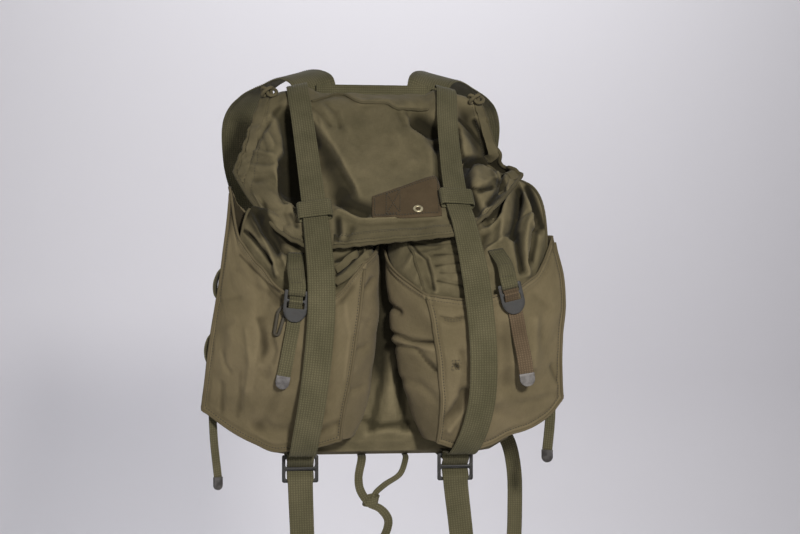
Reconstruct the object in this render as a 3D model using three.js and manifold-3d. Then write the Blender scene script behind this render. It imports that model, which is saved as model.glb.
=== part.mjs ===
// A military rucksack of cotton duck with two outer pockets, as it hangs when it is worn.
// Millimetres. +Z is up, +Y points to the wearer and +X is to the right, seen from behind the wearer.
// The origin is on the sack's back, midway between the shoulder straps, at the top edge that they hang from.
import * as THREE from "three";
import { ParametricGeometry } from "three/addons/geometries/ParametricGeometry.js";
import { mergeVertices } from "three/addons/utils/BufferGeometryUtils.js";
import Module from "manifold-3d";

const wasm = await Module();
wasm.setup();

// Cloth, webbing and seams
const DUCK = 2; // a wall of cotton duck, with its turned-in edges
const WEBBING = 2; // a woven strap
const SEAM_GAP = 0.4; // the clearance where one piece is sewn on another
const WIDE_WEBBING = 31; // the two closing straps
const NARROW_WEBBING = 19; // pocket straps and tails
const SHOULDER_WIDTH = 56; // a shoulder strap where it bears
const UNDERARM_WIDTH = 26; // the same strap under the arm
const TAPE = 10; // the tie tape at the bottom
const STEPS_PER_STATION = 3; // facets along a strap between two stations

// Colours
const OLIVE = 0x5d5a40;
const FADED_OLIVE = 0x706449;
const WEBBING_GREEN = 0x55563c;
const BROWN_DUCK = 0x5e5040;
const BROWN_WEBBING = 0x6b5a43;
const STEEL_GREY = 0x4c4f55;
const BRASS = 0xb9a878;
const PAINTED_STEEL = { metalness: 0.8, roughness: 0.5 };

// The sack: a row for each horizontal section, from the middle of the bottom panel up to the mouth.
// front and rear are how far the two faces stand off the wearer; tilt drops the mouth's front lip.
const SACK_FRONT = 116;
const SACK_BOTTOM = -441;
const SACK = [
  { z: SACK_BOTTOM, halfWidth: 0, front: 58, rear: 58, radius: 0, tilt: 0 },
  { z: SACK_BOTTOM, halfWidth: 112, front: 98, rear: 16, radius: 12, tilt: 0 },
  { z: -436, halfWidth: 132, front: 111, rear: 3, radius: 14, tilt: 0 },
  { z: -423, halfWidth: 152, front: SACK_FRONT, rear: 0, radius: 12, tilt: 0 },
  { z: -398, halfWidth: 168, front: SACK_FRONT, rear: 0, radius: 12, tilt: 0 },
  { z: -310, halfWidth: 180, front: SACK_FRONT, rear: 0, radius: 12, tilt: 0 },
  { z: -220, halfWidth: 180, front: SACK_FRONT, rear: 0, radius: 12, tilt: 0 },
  { z: -162, halfWidth: 166, front: SACK_FRONT, rear: 0, radius: 12, tilt: 0 },
  { z: -112, halfWidth: 142, front: 70, rear: 0, radius: 12, tilt: 0 },
  { z: -62, halfWidth: 120, front: 35, rear: 0, radius: 12, tilt: 0.25 },
  { z: -8, halfWidth: 110, front: 22, rear: 0, radius: 10, tilt: 0.9 },
];
const SACK_SIDES = SACK.slice(4, 8); // the sections that the pockets are sewn to
const RING_STEPS = { front: 8, side: 2, back: 4, corner: 3 };

// The main flap: a row for each station from the seam on the sack's back to the front hem.
// middle is a point of the centre line, side one of the edge that wraps round the sack's shoulder.
const FLAP = [
  { v: 0.0, middleY: -0.3, middleZ: 5, leftX: 136, rightX: 134, sideY: -9, sideZ: -10 },
  { v: 0.12, middleY: -26, middleZ: 1, leftX: 142, rightX: 137, sideY: -22, sideZ: -23 },
  { v: 0.3, middleY: -60, middleZ: -40, leftX: 150, rightX: 142, sideY: -34, sideZ: -46 },
  { v: 0.5, middleY: -96, middleZ: -88, leftX: 159, rightX: 149, sideY: -46, sideZ: -71 },
  { v: 0.75, middleY: -138, middleZ: -142, leftX: 167, rightX: 164, sideY: -58, sideZ: -93 },
  { v: 1.0, middleY: -177, middleZ: -190, leftX: 172, rightX: 177, sideY: -68, sideZ: -107 },
];
const FLAP_FLAT = 0.4; // the share of the half width that lies flat before the sides wrap back
const FLAP_WRAP = 1.6; // how suddenly the sides wrap
const FLAP_LEAN = 0.1; // the hem hangs lower on the left
const FLAP_STEPS = { across: 32, along: 18 };
// Where the slack cloth folds, seen from the front: a crease between two points, how wide and how deep.
const FLAP_FOLDS = [
  { fromX: -113, fromZ: -30, toX: -104, toZ: -120, reach: 11, depth: 16 },
  { fromX: -62, fromZ: -52, toX: -44, toZ: -120, reach: 14, depth: 8 },
  { fromX: -128, fromZ: -96, toX: -140, toZ: -60, reach: 12, depth: -5 },
  { fromX: 56, fromZ: -26, toX: 70, toZ: -60, reach: 12, depth: 10 },
  { fromX: 112, fromZ: -26, toX: 128, toZ: -74, reach: 10, depth: 11 },
  { fromX: 110, fromZ: -88, toX: 150, toZ: -92, reach: 11, depth: 13 },
  { fromX: 104, fromZ: -125, toX: 132, toZ: -132, reach: 9, depth: -6 },
];

// The two outer pockets. seams: a row for each height, with the front panel's inner and outer piped seams,
// their depths off the back, how far the inner gusset bulges into the gap between the pockets, and how far
// from the middle it is sewn to the sack.
// hem and bottom: the mouth's edge and the bottom seam, from the inner seam (share 0) to the outer (1).
const POCKETS = {
  left: {
    sign: -1,
    seams: [
      { z: -135, inner: 24, innerDepth: 146, outer: 173, outerDepth: 120, bulge: 10, sewn: 10 },
      { z: -200, inner: 26, innerDepth: 169, outer: 184, outerDepth: 139, bulge: 12, sewn: 9 },
      { z: -250, inner: 31, innerDepth: 186, outer: 192, outerDepth: 154, bulge: 16, sewn: 8 },
      { z: -300, inner: 38, innerDepth: 190, outer: 200, outerDepth: 160, bulge: 20, sewn: 9 },
      { z: -350, inner: 45, innerDepth: 186, outer: 206, outerDepth: 154, bulge: 17, sewn: 14 },
      { z: -385, inner: 51, innerDepth: 178, outer: 210, outerDepth: 143, bulge: 12, sewn: 24 },
      { z: -430, inner: 55, innerDepth: 166, outer: 212, outerDepth: 138, bulge: 4, sewn: 38 },
    ],
    hem: [
      { share: 0.0, z: -202 },
      { share: 0.2, z: -243 },
      { share: 0.55, z: -250 },
      { share: 0.85, z: -190 },
      { share: 1.0, z: -142 },
    ],
    bottom: [
      { share: 0.0, z: -416 },
      { share: 0.35, z: -427 },
      { share: 0.6, z: -420 },
      { share: 1.0, z: -382 },
    ],
    folds: [
      { fromX: -136, fromZ: -262, toX: -140, toZ: -335, reach: 10, depth: 6 },
      { fromX: -104, fromZ: -318, toX: -116, toZ: -345, reach: 8, depth: 4 },
      { fromX: -150, fromZ: -402, toX: -70, toZ: -410, reach: 8, depth: 4 },
    ],
  },
  right: {
    sign: 1,
    seams: [
      { z: -150, inner: 18, innerDepth: 150, outer: 196, outerDepth: 120, bulge: 10, sewn: 8 },
      { z: -200, inner: 27, innerDepth: 169, outer: 205, outerDepth: 134, bulge: 14, sewn: 8 },
      { z: -250, inner: 42, innerDepth: 187, outer: 211, outerDepth: 148, bulge: 20, sewn: 9 },
      { z: -300, inner: 52, innerDepth: 192, outer: 207, outerDepth: 152, bulge: 23, sewn: 13 },
      { z: -350, inner: 58, innerDepth: 190, outer: 207, outerDepth: 150, bulge: 22, sewn: 22 },
      { z: -385, inner: 60, innerDepth: 184, outer: 211, outerDepth: 141, bulge: 16, sewn: 32 },
      { z: -430, inner: 57, innerDepth: 166, outer: 213, outerDepth: 136, bulge: 3, sewn: 46 },
    ],
    hem: [
      { share: 0.0, z: -206 },
      { share: 0.13, z: -246 },
      { share: 0.45, z: -254 },
      { share: 0.7, z: -236 },
      { share: 1.0, z: -180 },
    ],
    bottom: [
      { share: 0.0, z: -420 },
      { share: 0.28, z: -428 },
      { share: 0.55, z: -413 },
      { share: 0.83, z: -397 },
      { share: 1.0, z: -373 },
    ],
    folds: [
      { fromX: 20, fromZ: -298, toX: 52, toZ: -306, reach: 7, depth: 5 },
      { fromX: 62, fromZ: -412, toX: 88, toZ: -368, reach: 9, depth: 6 },
      { fromX: 122, fromZ: -290, toX: 128, toZ: -345, reach: 10, depth: 4 },
    ],
  },
};
const POCKET_BELLY = { hem: 12, middle: 20, bottom: 5 }; // how far the front panel rounds out past its seams
const POCKET_SEWN = { fromSackEdge: 15, top: -166, bottom: -411 }; // where the gusset meets the sack
const POCKET_STEPS = { gusset: 3, across: 10, down: 8 };
const GUSSET_SWELL = { outer: 5, bottom: 6 };

// The pocket flaps, tucked into the pockets' mouths
const POCKET_FLAP = {
  topZ: -164, innerTop: 24, outerTop: 148, // the seam on the sack
  innerShare: 0.06, outerShare: 0.93, // where it meets the mouth, across the pocket
  tuck: 7, clear: 3, // how far it goes into the mouth, and its clearance there
  curl: 1.3, // how late it rolls forward over the contents
};
const POCKET_FLAP_STEPS = { across: 10, down: 7 };

// The closing straps run over the flap, each through a keeper, and down to a buckle under the sack.
const STRAP_OFF_FLAP = 5.6; // from the flap's face to the strap's middle
const KEEPER = { length: 20, width: 41, height: 9.8, wall: 1.5, corner: 2.5 };
const BOTTOM_BUCKLE = { width: 42, height: 32, bar: 4, side: 4, thick: 2.4, corner: 3, y: -140, z: -452 };
const BEND_SLACK = 1.1; // room where webbing bends round a bar
const BAR_REACH = 3; // above and below a bar, where the webbing starts to bend
const ANCHOR = { sewnFrom: -62, sewnTo: -100, tail: 18 }; // the short webbing that holds a bottom buckle
// onFlap: where the strap lies along the flap; below: its free run down to the buckle
const CLOSING = {
  left: {
    onFlap: [
      { v: 0.0, x: -95 },
      { v: 0.05, x: -95 },
      { v: 0.12, x: -95 },
      { v: 0.3, x: -91 },
      { v: 0.5, x: -87 },
      { v: 0.8, x: -82 },
      { v: 0.98, x: -80 },
    ],
    below: [
      { x: -78, y: -198, z: -226 },
      { x: -78, y: -204, z: -270 },
      { x: -82, y: -207, z: -320 },
      { x: -88, y: -201, z: -370 },
      { x: -94, y: -186, z: -411 },
      { x: -97, y: -168, z: -433 },
    ],
  },
  right: {
    onFlap: [
      { v: 0.0, x: 91 },
      { v: 0.05, x: 90 },
      { v: 0.12, x: 90 },
      { v: 0.3, x: 86 },
      { v: 0.5, x: 84 },
      { v: 0.8, x: 84 },
      { v: 0.98, x: 89 },
    ],
    below: [
      { x: 96, y: -198, z: -222 },
      { x: 102, y: -204, z: -270 },
      { x: 105, y: -208, z: -320 },
      { x: 104, y: -202, z: -370 },
      { x: 96, y: -187, z: -411 },
      { x: 87, y: -168, z: -433 },
    ],
  },
};
const KEEPER_ROW = 5; // the station on the flap where the keeper is sewn
const BUCKLE_X = { left: -98, right: 83 };
const CLOSING_TAIL_END = { left: { x: -94, y: -138, z: -575 }, right: { x: 95, y: -138, z: -572 } };

// The pocket fastenings: a tab off the flap, a buckle with a rounded plate, and a tail with a metal end
const FASTENING = {
  left: { x: -107, buckleZ: -266, lean: -0.1, tabTopX: -104, tailEndX: -120, tailEndZ: -342, standOff: 3,
    tailColour: WEBBING_GREEN },
  right: { x: 142, buckleZ: -258, lean: 0.24, tabTopX: 128, tailEndX: 156, tailEndZ: -341, standOff: 10,
    tailColour: BROWN_WEBBING },
};
const TAB_PLACE = 0.62; // how far down the pocket flap the tab is sewn
const POCKET_BUCKLE = { width: 27, plate: 15, slot: 7, bar: 3.4, side: 3.6, thick: 2.4 };
const PLATE_OFF = 6.4; // from the pocket's face to the buckle, clear of the tail behind it
const BUCKLE_HEIGHTS = [12, 0, -12, -24]; // about the buckle's middle, where it might touch the pocket
const TAIL_OFF = 4; // from the pocket's face to a tail that lies on it
const TAIL_PAST_PLATE = 3; // where the tail leaves the buckle
const TAIL_SHARES = [0.35, 0.7, 1]; // stations along a tail's hanging part
const STRAP_END = { length: 15, thick: 3.2 };

// The shoulder straps: a row for each station, with the direction of the strap's width there.
const SHOULDER = [
  { x: 68, y: 4.6, z: -52, acrossX: 1, acrossY: 0, acrossZ: 0, width: SHOULDER_WIDTH - 10 },
  { x: 68, y: 4.8, z: -14, acrossX: 1, acrossY: 0, acrossZ: 0, width: SHOULDER_WIDTH - 8 },
  { x: 72, y: 10, z: 10, acrossX: 1, acrossY: 0.1, acrossZ: -0.1, width: SHOULDER_WIDTH - 4 },
  { x: 88, y: 36, z: 25, acrossX: 0.94, acrossY: -0.3, acrossZ: -0.25, width: SHOULDER_WIDTH },
  { x: 116, y: 68, z: 20, acrossX: 0.9, acrossY: -0.4, acrossZ: -0.35, width: SHOULDER_WIDTH },
  { x: 145, y: 98, z: 2, acrossX: 0.9, acrossY: -0.4, acrossZ: -0.35, width: SHOULDER_WIDTH },
  { x: 160, y: 128, z: -30, acrossX: 0.95, acrossY: -0.3, acrossZ: 0, width: SHOULDER_WIDTH - 4 },
  { x: 160, y: 150, z: -84, acrossX: 1, acrossY: -0.1, acrossZ: 0.1, width: SHOULDER_WIDTH - 10 },
  { x: 152, y: 154, z: -145, acrossX: 0.9, acrossY: -0.3, acrossZ: 0.4, width: UNDERARM_WIDTH + 6 },
  { x: 152, y: 136, z: -210, acrossX: 0.6, acrossY: 0.4, acrossZ: 0.7, width: UNDERARM_WIDTH },
  { x: 158, y: 98, z: -270, acrossX: 0.3, acrossY: 0.5, acrossZ: 0.8, width: UNDERARM_WIDTH },
  { x: 162, y: 55, z: -322, acrossX: 0.4, acrossY: 0.4, acrossZ: 0.8, width: UNDERARM_WIDTH },
  { x: 158, y: 20, z: -358, acrossX: 0.8, acrossY: 0.2, acrossZ: 0.4, width: UNDERARM_WIDTH },
  { x: 146, y: 2.4, z: -386, acrossX: 1, acrossY: 0, acrossZ: 0, width: UNDERARM_WIDTH },
  { x: 142, y: 1.5, z: -412, acrossX: 1, acrossY: 0, acrossZ: 0, width: UNDERARM_WIDTH },
];
const YOKE = { halfWidth: 70, bottom: -16, top: 9, thick: 2.4 };
const SHOULDER_TAIL = [
  { x: 146, y: 4, z: -402 },
  { x: 158, y: 6, z: -418 },
  { x: 174, y: 8, z: -440 },
  { x: 182, y: 8, z: -475 },
  { x: 183, y: 7, z: -530 },
  { x: 181, y: 6, z: -582 },
];

// What hangs from the pockets' lower outer corners and from the bottom
const SIDE_TAIL = {
  sewn: 14, // the stitched length at the top
  bend: 0.35, // how much of the drift shows half-way down
  left: { topZ: -368, endZ: -462, drift: 6, width: 11, place: 0.36 },
  right: { topZ: -360, endZ: -436, drift: -4, width: 13, place: 0.36 },
  kick: 4, // the corner seam pushes the tail out before it hangs
};
const TAIL_ON_GUSSET = 1.7; // from the gusset to the middle of a strap sewn on it
const LOOP_ON_GUSSET = 1.1; // the same for a loop's two ends, which are drawn tight
const SIDE_LOOPS = { upper: -238, lower: -312 };
const SIDE_LOOP = { length: 26, rise: 4.6, width: 16 };
const GUSSET_STEP = 0.15; // the share of the gusset's depth that gives its slope
const TIE = [
  { x: -22, y: -84, z: -442.1 },
  { x: -24, y: -112, z: -446 },
  { x: -29, y: -126, z: -466 },
  { x: -27, y: -130, z: -480 },
  { x: -17, y: -135, z: -494 },
  { x: -4, y: -136, z: -501 },
  { x: 5, y: -134, z: -514 },
  { x: 1, y: -132, z: -532 },
  { x: -12, y: -131, z: -546 },
];
const TIE_LOOP = [
  { x: 30, y: -84, z: -442.1 },
  { x: 28, y: -112, z: -446 },
  { x: 20, y: -124, z: -462 },
  { x: 2, y: -125, z: -474 },
  { x: -9, y: -125, z: -484 },
  { x: -12, y: -127, z: -492 },
];
const TAPE_THICK = 1.4;
const TIE_LOOP_WIDTH = 7;
const TIE_TWIST = 0.15; // how the tape turns from one station to the next
const KNOT = { radius: 5.6, cord: 2.1, side: 0.93, v: 0.05, lift: 8.5 };

// The brown tab on the flap, with its eyelet: corner points seen from the front
const PATCH = { left: -22, right: 61, topLeft: -138, topRight: -114, bottom: -163, thick: 1.6, off: 0.9 };
const PATCH_STEPS = { across: 6, down: 4 };
const EYELET = { x: 38, z: -152, outer: 6, hole: 3, thick: 1.4, roll: 0.8, sides: 16, punch: 12 };
const HEM_BAND = { left: -58, right: 68, width: 13, thick: 2, off: 0.6 };
const HEM_STEPS = { across: 10, down: 2 };

const HALVINGS = 30; // of a range, to find a place on a surface

// The value of a column at a place between the rows of a table, on a smooth curve through them
function smooth(rows, key, column, at) {
  const rising = rows[rows.length - 1][key] > rows[0][key];
  const place = (row) => (rising ? row[key] : -row[key]);
  const wanted = Math.min(Math.max(rising ? at : -at, place(rows[0])), place(rows[rows.length - 1]));
  let i = 0;
  while (i < rows.length - 2 && place(rows[i + 1]) < wanted) i += 1;
  const slope = (j) => {
    const before = rows[Math.max(j - 1, 0)];
    const after = rows[Math.min(j + 1, rows.length - 1)];
    return (after[column] - before[column]) / (place(after) - place(before));
  };
  const span = place(rows[i + 1]) - place(rows[i]);
  const t = (wanted - place(rows[i])) / span;
  const a = rows[i][column];
  const b = rows[i + 1][column];
  const fromA = a + slope(i) * span * t;
  const fromB = b - slope(i + 1) * span * (1 - t);
  const ease = t * t * (3 - 2 * t);
  return fromA * (1 - ease) + fromB * ease;
}

// How deep the creases in a table press the cloth at a point seen from the front
function foldDepth(folds, x, z) {
  let total = 0;
  for (const { fromX, fromZ, toX, toZ, reach, depth } of folds) {
    const alongX = toX - fromX;
    const alongZ = toZ - fromZ;
    const share = ((x - fromX) * alongX + (z - fromZ) * alongZ) / (alongX ** 2 + alongZ ** 2);
    const t = THREE.MathUtils.clamp(share, 0, 1);
    const away = Math.hypot(x - fromX - t * alongX, z - fromZ - t * alongZ) / reach;
    total += depth * Math.exp(-away * away);
  }
  return total;
}

// Indexed triangles with their corners shared, as a geometry
function geometryOf(positions, triangles) {
  const made = new THREE.BufferGeometry();
  made.setAttribute("position", new THREE.Float32BufferAttribute(positions, 3));
  made.setIndex(triangles);
  return made;
}

// Turns a surface into a closed wall. The surface is the wall's outer face and the cloth lies behind it.
// seat keeps the wall off what it is sewn to: it moves a point back to where the cloth may be.
function wall(surface, uSteps, vSteps, thickness, { flip = false, seat = null } = {}) {
  const sheet = new ParametricGeometry(surface, uSteps, vSteps);
  sheet.deleteAttribute("normal");
  sheet.deleteAttribute("uv");
  const merged = mergeVertices(sheet, 1e-3);
  const triangles = [];
  for (let i = 0; i < merged.index.count; i += 3) {
    const [a, b, c] = [merged.index.getX(i), merged.index.getX(i + 1), merged.index.getX(i + 2)];
    if (a === b || b === c || c === a) continue; // a quad that a corner closes up
    triangles.push(...(flip ? [a, c, b] : [a, b, c]));
  }
  const outer = geometryOf(Array.from(merged.attributes.position.array), triangles);
  outer.computeVertexNormals();
  const count = outer.attributes.position.count;
  const positions = [];
  const point = new THREE.Vector3();
  const normal = new THREE.Vector3();
  for (const depth of [0, thickness]) {
    for (let i = 0; i < count; i += 1) {
      point.fromBufferAttribute(outer.attributes.position, i);
      normal.fromBufferAttribute(outer.attributes.normal, i);
      point.addScaledVector(normal, -depth);
      if (seat) seat(point);
      positions.push(point.x, point.y, point.z);
    }
  }
  const closed = [...triangles];
  const edges = new Set();
  for (let i = 0; i < triangles.length; i += 3) {
    const [a, b, c] = triangles.slice(i, i + 3);
    closed.push(a + count, c + count, b + count);
    for (const [from, to] of [[a, b], [b, c], [c, a]]) edges.add(`${from},${to}`);
  }
  for (const edge of edges) {
    const [from, to] = edge.split(",").map(Number);
    if (edges.has(`${to},${from}`)) continue;
    closed.push(to, from, from + count, to, from + count, to + count); // the wall's rim
  }
  return geometryOf(positions, closed);
}

// Joins rings of points into a solid with flat ends
function loft(rings) {
  const sides = rings[0].length;
  const positions = rings.flat().flatMap((p) => [p.x, p.y, p.z]);
  const triangles = [];
  for (let r = 0; r < rings.length - 1; r += 1) {
    for (let s = 0; s < sides; s += 1) {
      const [a, b] = [r * sides + s, r * sides + ((s + 1) % sides)];
      if (s < sides / 2) triangles.push(a, b, b + sides, a, b + sides, a + sides);
      else triangles.push(a, b, a + sides, b, b + sides, a + sides); // so that opposite faces stay parallel
    }
  }
  const last = (rings.length - 1) * sides;
  for (let s = 1; s < sides - 1; s += 1) {
    triangles.push(0, s + 1, s);
    triangles.push(last, last + s, last + s + 1);
  }
  return geometryOf(positions, triangles);
}

// A flat strap on a smooth line through its stations. A station may carry its own width and width direction.
function strap(stations, width, thickness = WEBBING) {
  const steps = STEPS_PER_STATION * (stations.length - 1);
  const curve = new THREE.CatmullRomCurve3(
    stations.map((s) => new THREE.Vector3(s.x, s.y, s.z)), false, "centripetal");
  const value = (name, other, t) => {
    const place = t * (stations.length - 1);
    const i = Math.min(Math.floor(place), stations.length - 2);
    const pick = (s) => s[name] ?? other;
    return THREE.MathUtils.lerp(pick(stations[i]), pick(stations[i + 1]), place - i);
  };
  const rings = [];
  for (let i = 0; i <= steps; i += 1) {
    const t = i / steps;
    const centre = curve.getPoint(t);
    const along = curve.getTangent(t);
    const across = new THREE.Vector3(
      value("acrossX", 1, t), value("acrossY", 0, t), value("acrossZ", 0, t));
    across.addScaledVector(along, -across.dot(along)).normalize();
    const face = new THREE.Vector3().crossVectors(along, across);
    const half = value("width", width, t) / 2;
    const corner = (side, lift) =>
      centre.clone().addScaledVector(across, side * half).addScaledVector(face, (lift * thickness) / 2);
    rings.push([corner(-1, -1), corner(1, -1), corner(1, 1), corner(-1, 1)]);
  }
  return loft(rings);
}

// A manifold solid of a geometry, for the few pieces that are cut
function solidOf(geometry) {
  const bare = geometry.clone();
  for (const name of ["normal", "uv"]) bare.deleteAttribute(name);
  const merged = mergeVertices(bare, 1e-3);
  return new wasm.Manifold(new wasm.Mesh({
    numProp: 3,
    vertProperties: merged.attributes.position.array,
    triVerts: new Uint32Array(merged.index.array),
  }));
}

function geometryOfSolid(solid) {
  const { vertProperties, triVerts } = solid.getMesh();
  return geometryOf(Array.from(vertProperties), Array.from(triVerts));
}

const rucksack = new THREE.Group();

function add(name, geometry, color, { metalness = 0, roughness = 0.9 } = {}) {
  const mesh = new THREE.Mesh(geometry, new THREE.MeshStandardMaterial({ color, metalness, roughness }));
  mesh.name = name;
  rucksack.add(mesh);
  return mesh;
}

// The sack
function sackRing({ halfWidth, front, rear, radius }) {
  const points = [];
  const straight = halfWidth - radius;
  const corners = [
    { x: straight, y: -front + radius, start: -Math.PI / 2, edge: RING_STEPS.front },
    { x: straight, y: -rear - radius, start: 0, edge: RING_STEPS.side },
    { x: -straight, y: -rear - radius, start: Math.PI / 2, edge: RING_STEPS.back },
    { x: -straight, y: -front + radius, start: Math.PI, edge: RING_STEPS.side },
  ];
  let from = { x: -straight, y: -front };
  for (const { x, y, start, edge } of corners) {
    const on = (angle) => ({ x: x + radius * Math.cos(angle), y: y + radius * Math.sin(angle) });
    const to = on(start);
    for (let i = 0; i < edge; i += 1) {
      points.push({ x: from.x + ((to.x - from.x) * i) / edge, y: from.y + ((to.y - from.y) * i) / edge });
    }
    for (let i = 0; i < RING_STEPS.corner; i += 1) {
      points.push(on(start + (i / RING_STEPS.corner) * (Math.PI / 2)));
    }
    from = on(start + Math.PI / 2);
  }
  return points;
}

const sackRings = SACK.map((row) => sackRing(row));
const RING_COUNT = sackRings[0].length;

function sackSurface(u, v, target) {
  const row = Math.round(v * (SACK.length - 1));
  const { x, y } = sackRings[row][Math.round(u * RING_COUNT) % RING_COUNT];
  target.set(x, y, SACK[row].z + SACK[row].tilt * y);
}

add("sack", wall(sackSurface, RING_COUNT, SACK.length - 1, DUCK), OLIVE);

// The main flap
const FLAP_NORMAL = new THREE.Vector3(0, -0.75, 0.66); // off the middle of the slope

// A point of the taut flap, without its folds
function flapBase(side, v, target, lift = 0) {
  const row = (column) => smooth(FLAP, "v", column, v);
  const beyond = Math.max(Math.abs(side) - FLAP_FLAT, 0) / (1 - FLAP_FLAT);
  const wrap = beyond ** FLAP_WRAP;
  const x = side * row(side < 0 ? "leftX" : "rightX");
  const y = THREE.MathUtils.lerp(row("middleY"), row("sideY"), wrap);
  const z = THREE.MathUtils.lerp(row("middleZ"), row("sideZ"), wrap) + FLAP_LEAN * x * v * (1 - wrap);
  return target.set(x, y, z).addScaledVector(FLAP_NORMAL, lift);
}

function flapPoint(side, v, target, lift = 0) {
  flapBase(side, v, target);
  const ends = THREE.MathUtils.smoothstep(v, 0.02, 0.16) * (1 - THREE.MathUtils.smoothstep(v, 0.8, 1));
  return target.addScaledVector(FLAP_NORMAL, lift - ends * foldDepth(FLAP_FOLDS, target.x, target.z));
}

function flapSurface(u, v, target) {
  flapPoint(1 - 2 * u, v, target);
}

add("flap", wall(flapSurface, FLAP_STEPS.across, FLAP_STEPS.along, DUCK), OLIVE);

// The place along the flap whose middle has a given height
function flapAt(z, side) {
  let low = 0;
  let high = 1;
  const point = new THREE.Vector3();
  for (let i = 0; i < HALVINGS; i += 1) {
    const v = (low + high) / 2;
    flapPoint(side, v, point);
    if (point.z > z) low = v;
    else high = v;
  }
  return low;
}

function flapSide(x, v) {
  return x / smooth(FLAP, "v", x < 0 ? "leftX" : "rightX", v);
}

// The flap's point that is seen at x, z from the front, in the flap's flat middle
function flapSeen(x, z, target, lift) {
  const along = flapAt(z, x / FLAP[3].rightX);
  return flapPoint(flapSide(x, along), along, target, lift);
}

function patchSurface(u, v, target) {
  const x = THREE.MathUtils.lerp(PATCH.right, PATCH.left, u);
  const top = THREE.MathUtils.lerp(PATCH.topRight, PATCH.topLeft, u);
  flapSeen(x, THREE.MathUtils.lerp(top, PATCH.bottom, v), target, PATCH.off + PATCH.thick);
}

const eyeletSeat = flapSeen(EYELET.x, EYELET.z, new THREE.Vector3(), PATCH.off + PATCH.thick + SEAM_GAP);
const faceFlap = new THREE.Quaternion().setFromUnitVectors(
  new THREE.Vector3(0, 1, 0), FLAP_NORMAL.clone().normalize());

function onFlap(geometry, seat) {
  return geometry.applyQuaternion(faceFlap).translate(seat.x, seat.y, seat.z);
}

const punch = onFlap(
  new THREE.CylinderGeometry(EYELET.hole, EYELET.hole, EYELET.punch, EYELET.sides), eyeletSeat);
const patchSheet = wall(patchSurface, PATCH_STEPS.across, PATCH_STEPS.down, PATCH.thick);
const patch = solidOf(patchSheet).subtract(solidOf(punch));
add("flap_patch", geometryOfSolid(patch), BROWN_DUCK);

const eyeletProfile = [
  new THREE.Vector2(EYELET.hole, 0),
  new THREE.Vector2(EYELET.outer, 0),
  new THREE.Vector2(EYELET.outer - EYELET.roll, EYELET.thick),
  new THREE.Vector2(EYELET.hole + EYELET.roll, EYELET.thick),
  new THREE.Vector2(EYELET.hole, 0),
];
const eyelet = onFlap(new THREE.LatheGeometry(eyeletProfile, EYELET.sides), eyeletSeat);
add("flap_eyelet", eyelet, BRASS, { metalness: 0.9, roughness: 0.45 });

function hemBandSurface(u, v, target) {
  const x = THREE.MathUtils.lerp(HEM_BAND.right, HEM_BAND.left, u);
  const length = Math.hypot(FLAP[5].middleY - FLAP[0].middleY, FLAP[5].middleZ - FLAP[0].middleZ);
  const along = 1 - (HEM_BAND.width / length) * (1 - v);
  flapPoint(flapSide(x, along), along, target, HEM_BAND.off + HEM_BAND.thick);
}

add("flap_hem", wall(hemBandSurface, HEM_STEPS.across, HEM_STEPS.down, HEM_BAND.thick), OLIVE);

// The pockets
function pocketDepth(pocket, share, z, v) {
  const row = (column) => smooth(pocket.seams, "z", column, z);
  const crown = v < 0.5
    ? THREE.MathUtils.lerp(POCKET_BELLY.hem, POCKET_BELLY.middle, v * 2)
    : THREE.MathUtils.lerp(POCKET_BELLY.middle, POCKET_BELLY.bottom, v * 2 - 1);
  const across = 4 * share * (1 - share);
  return THREE.MathUtils.lerp(row("innerDepth"), row("outerDepth"), share) + crown * across;
}

function pocketPanel(pocket, share, v, target) {
  const hem = smooth(pocket.hem, "share", "z", share);
  const bottom = smooth(pocket.bottom, "share", "z", share);
  const z = THREE.MathUtils.lerp(hem, bottom, v);
  const row = (column) => smooth(pocket.seams, "z", column, z);
  const x = pocket.sign * THREE.MathUtils.lerp(row("inner"), row("outer"), share);
  const inside = 4 * share * (1 - share);
  const press = foldDepth(pocket.folds, x, z) * inside;
  target.set(x, -pocketDepth(pocket, share, z, v) + press, z);
}

// The gusset between the front panel's seam and the sack: depth 0 is on the seam and 1 on the sack.
function pocketGusset(pocket, share, v, depth, below, target) {
  pocketPanel(pocket, share, v, target);
  const seamZ = target.z;
  const outward = share === 0 ? -1 : 1;
  const swell = Math.sin(Math.PI * depth);
  const inner = smooth(pocket.seams, "z", "sewn", below ? POCKET_SEWN.bottom : seamZ);
  const outer = smooth(SACK_SIDES, "z", "halfWidth", seamZ) - POCKET_SEWN.fromSackEdge;
  const endX = pocket.sign * THREE.MathUtils.lerp(inner, outer, share);
  const { top, bottom } = POCKET_SEWN;
  const endZ = below ? bottom : THREE.MathUtils.clamp(seamZ, bottom, top);
  const side = share === 0 ? smooth(pocket.seams, "z", "bulge", seamZ) : GUSSET_SWELL.outer;
  target.set(
    THREE.MathUtils.lerp(target.x, endX, depth) + (below ? 0 : pocket.sign * outward * side * swell),
    THREE.MathUtils.lerp(target.y, -SACK_FRONT - SEAM_GAP, depth),
    THREE.MathUtils.lerp(seamZ, endZ, depth) - (below ? GUSSET_SWELL.bottom * swell : 0),
  );
}

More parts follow.
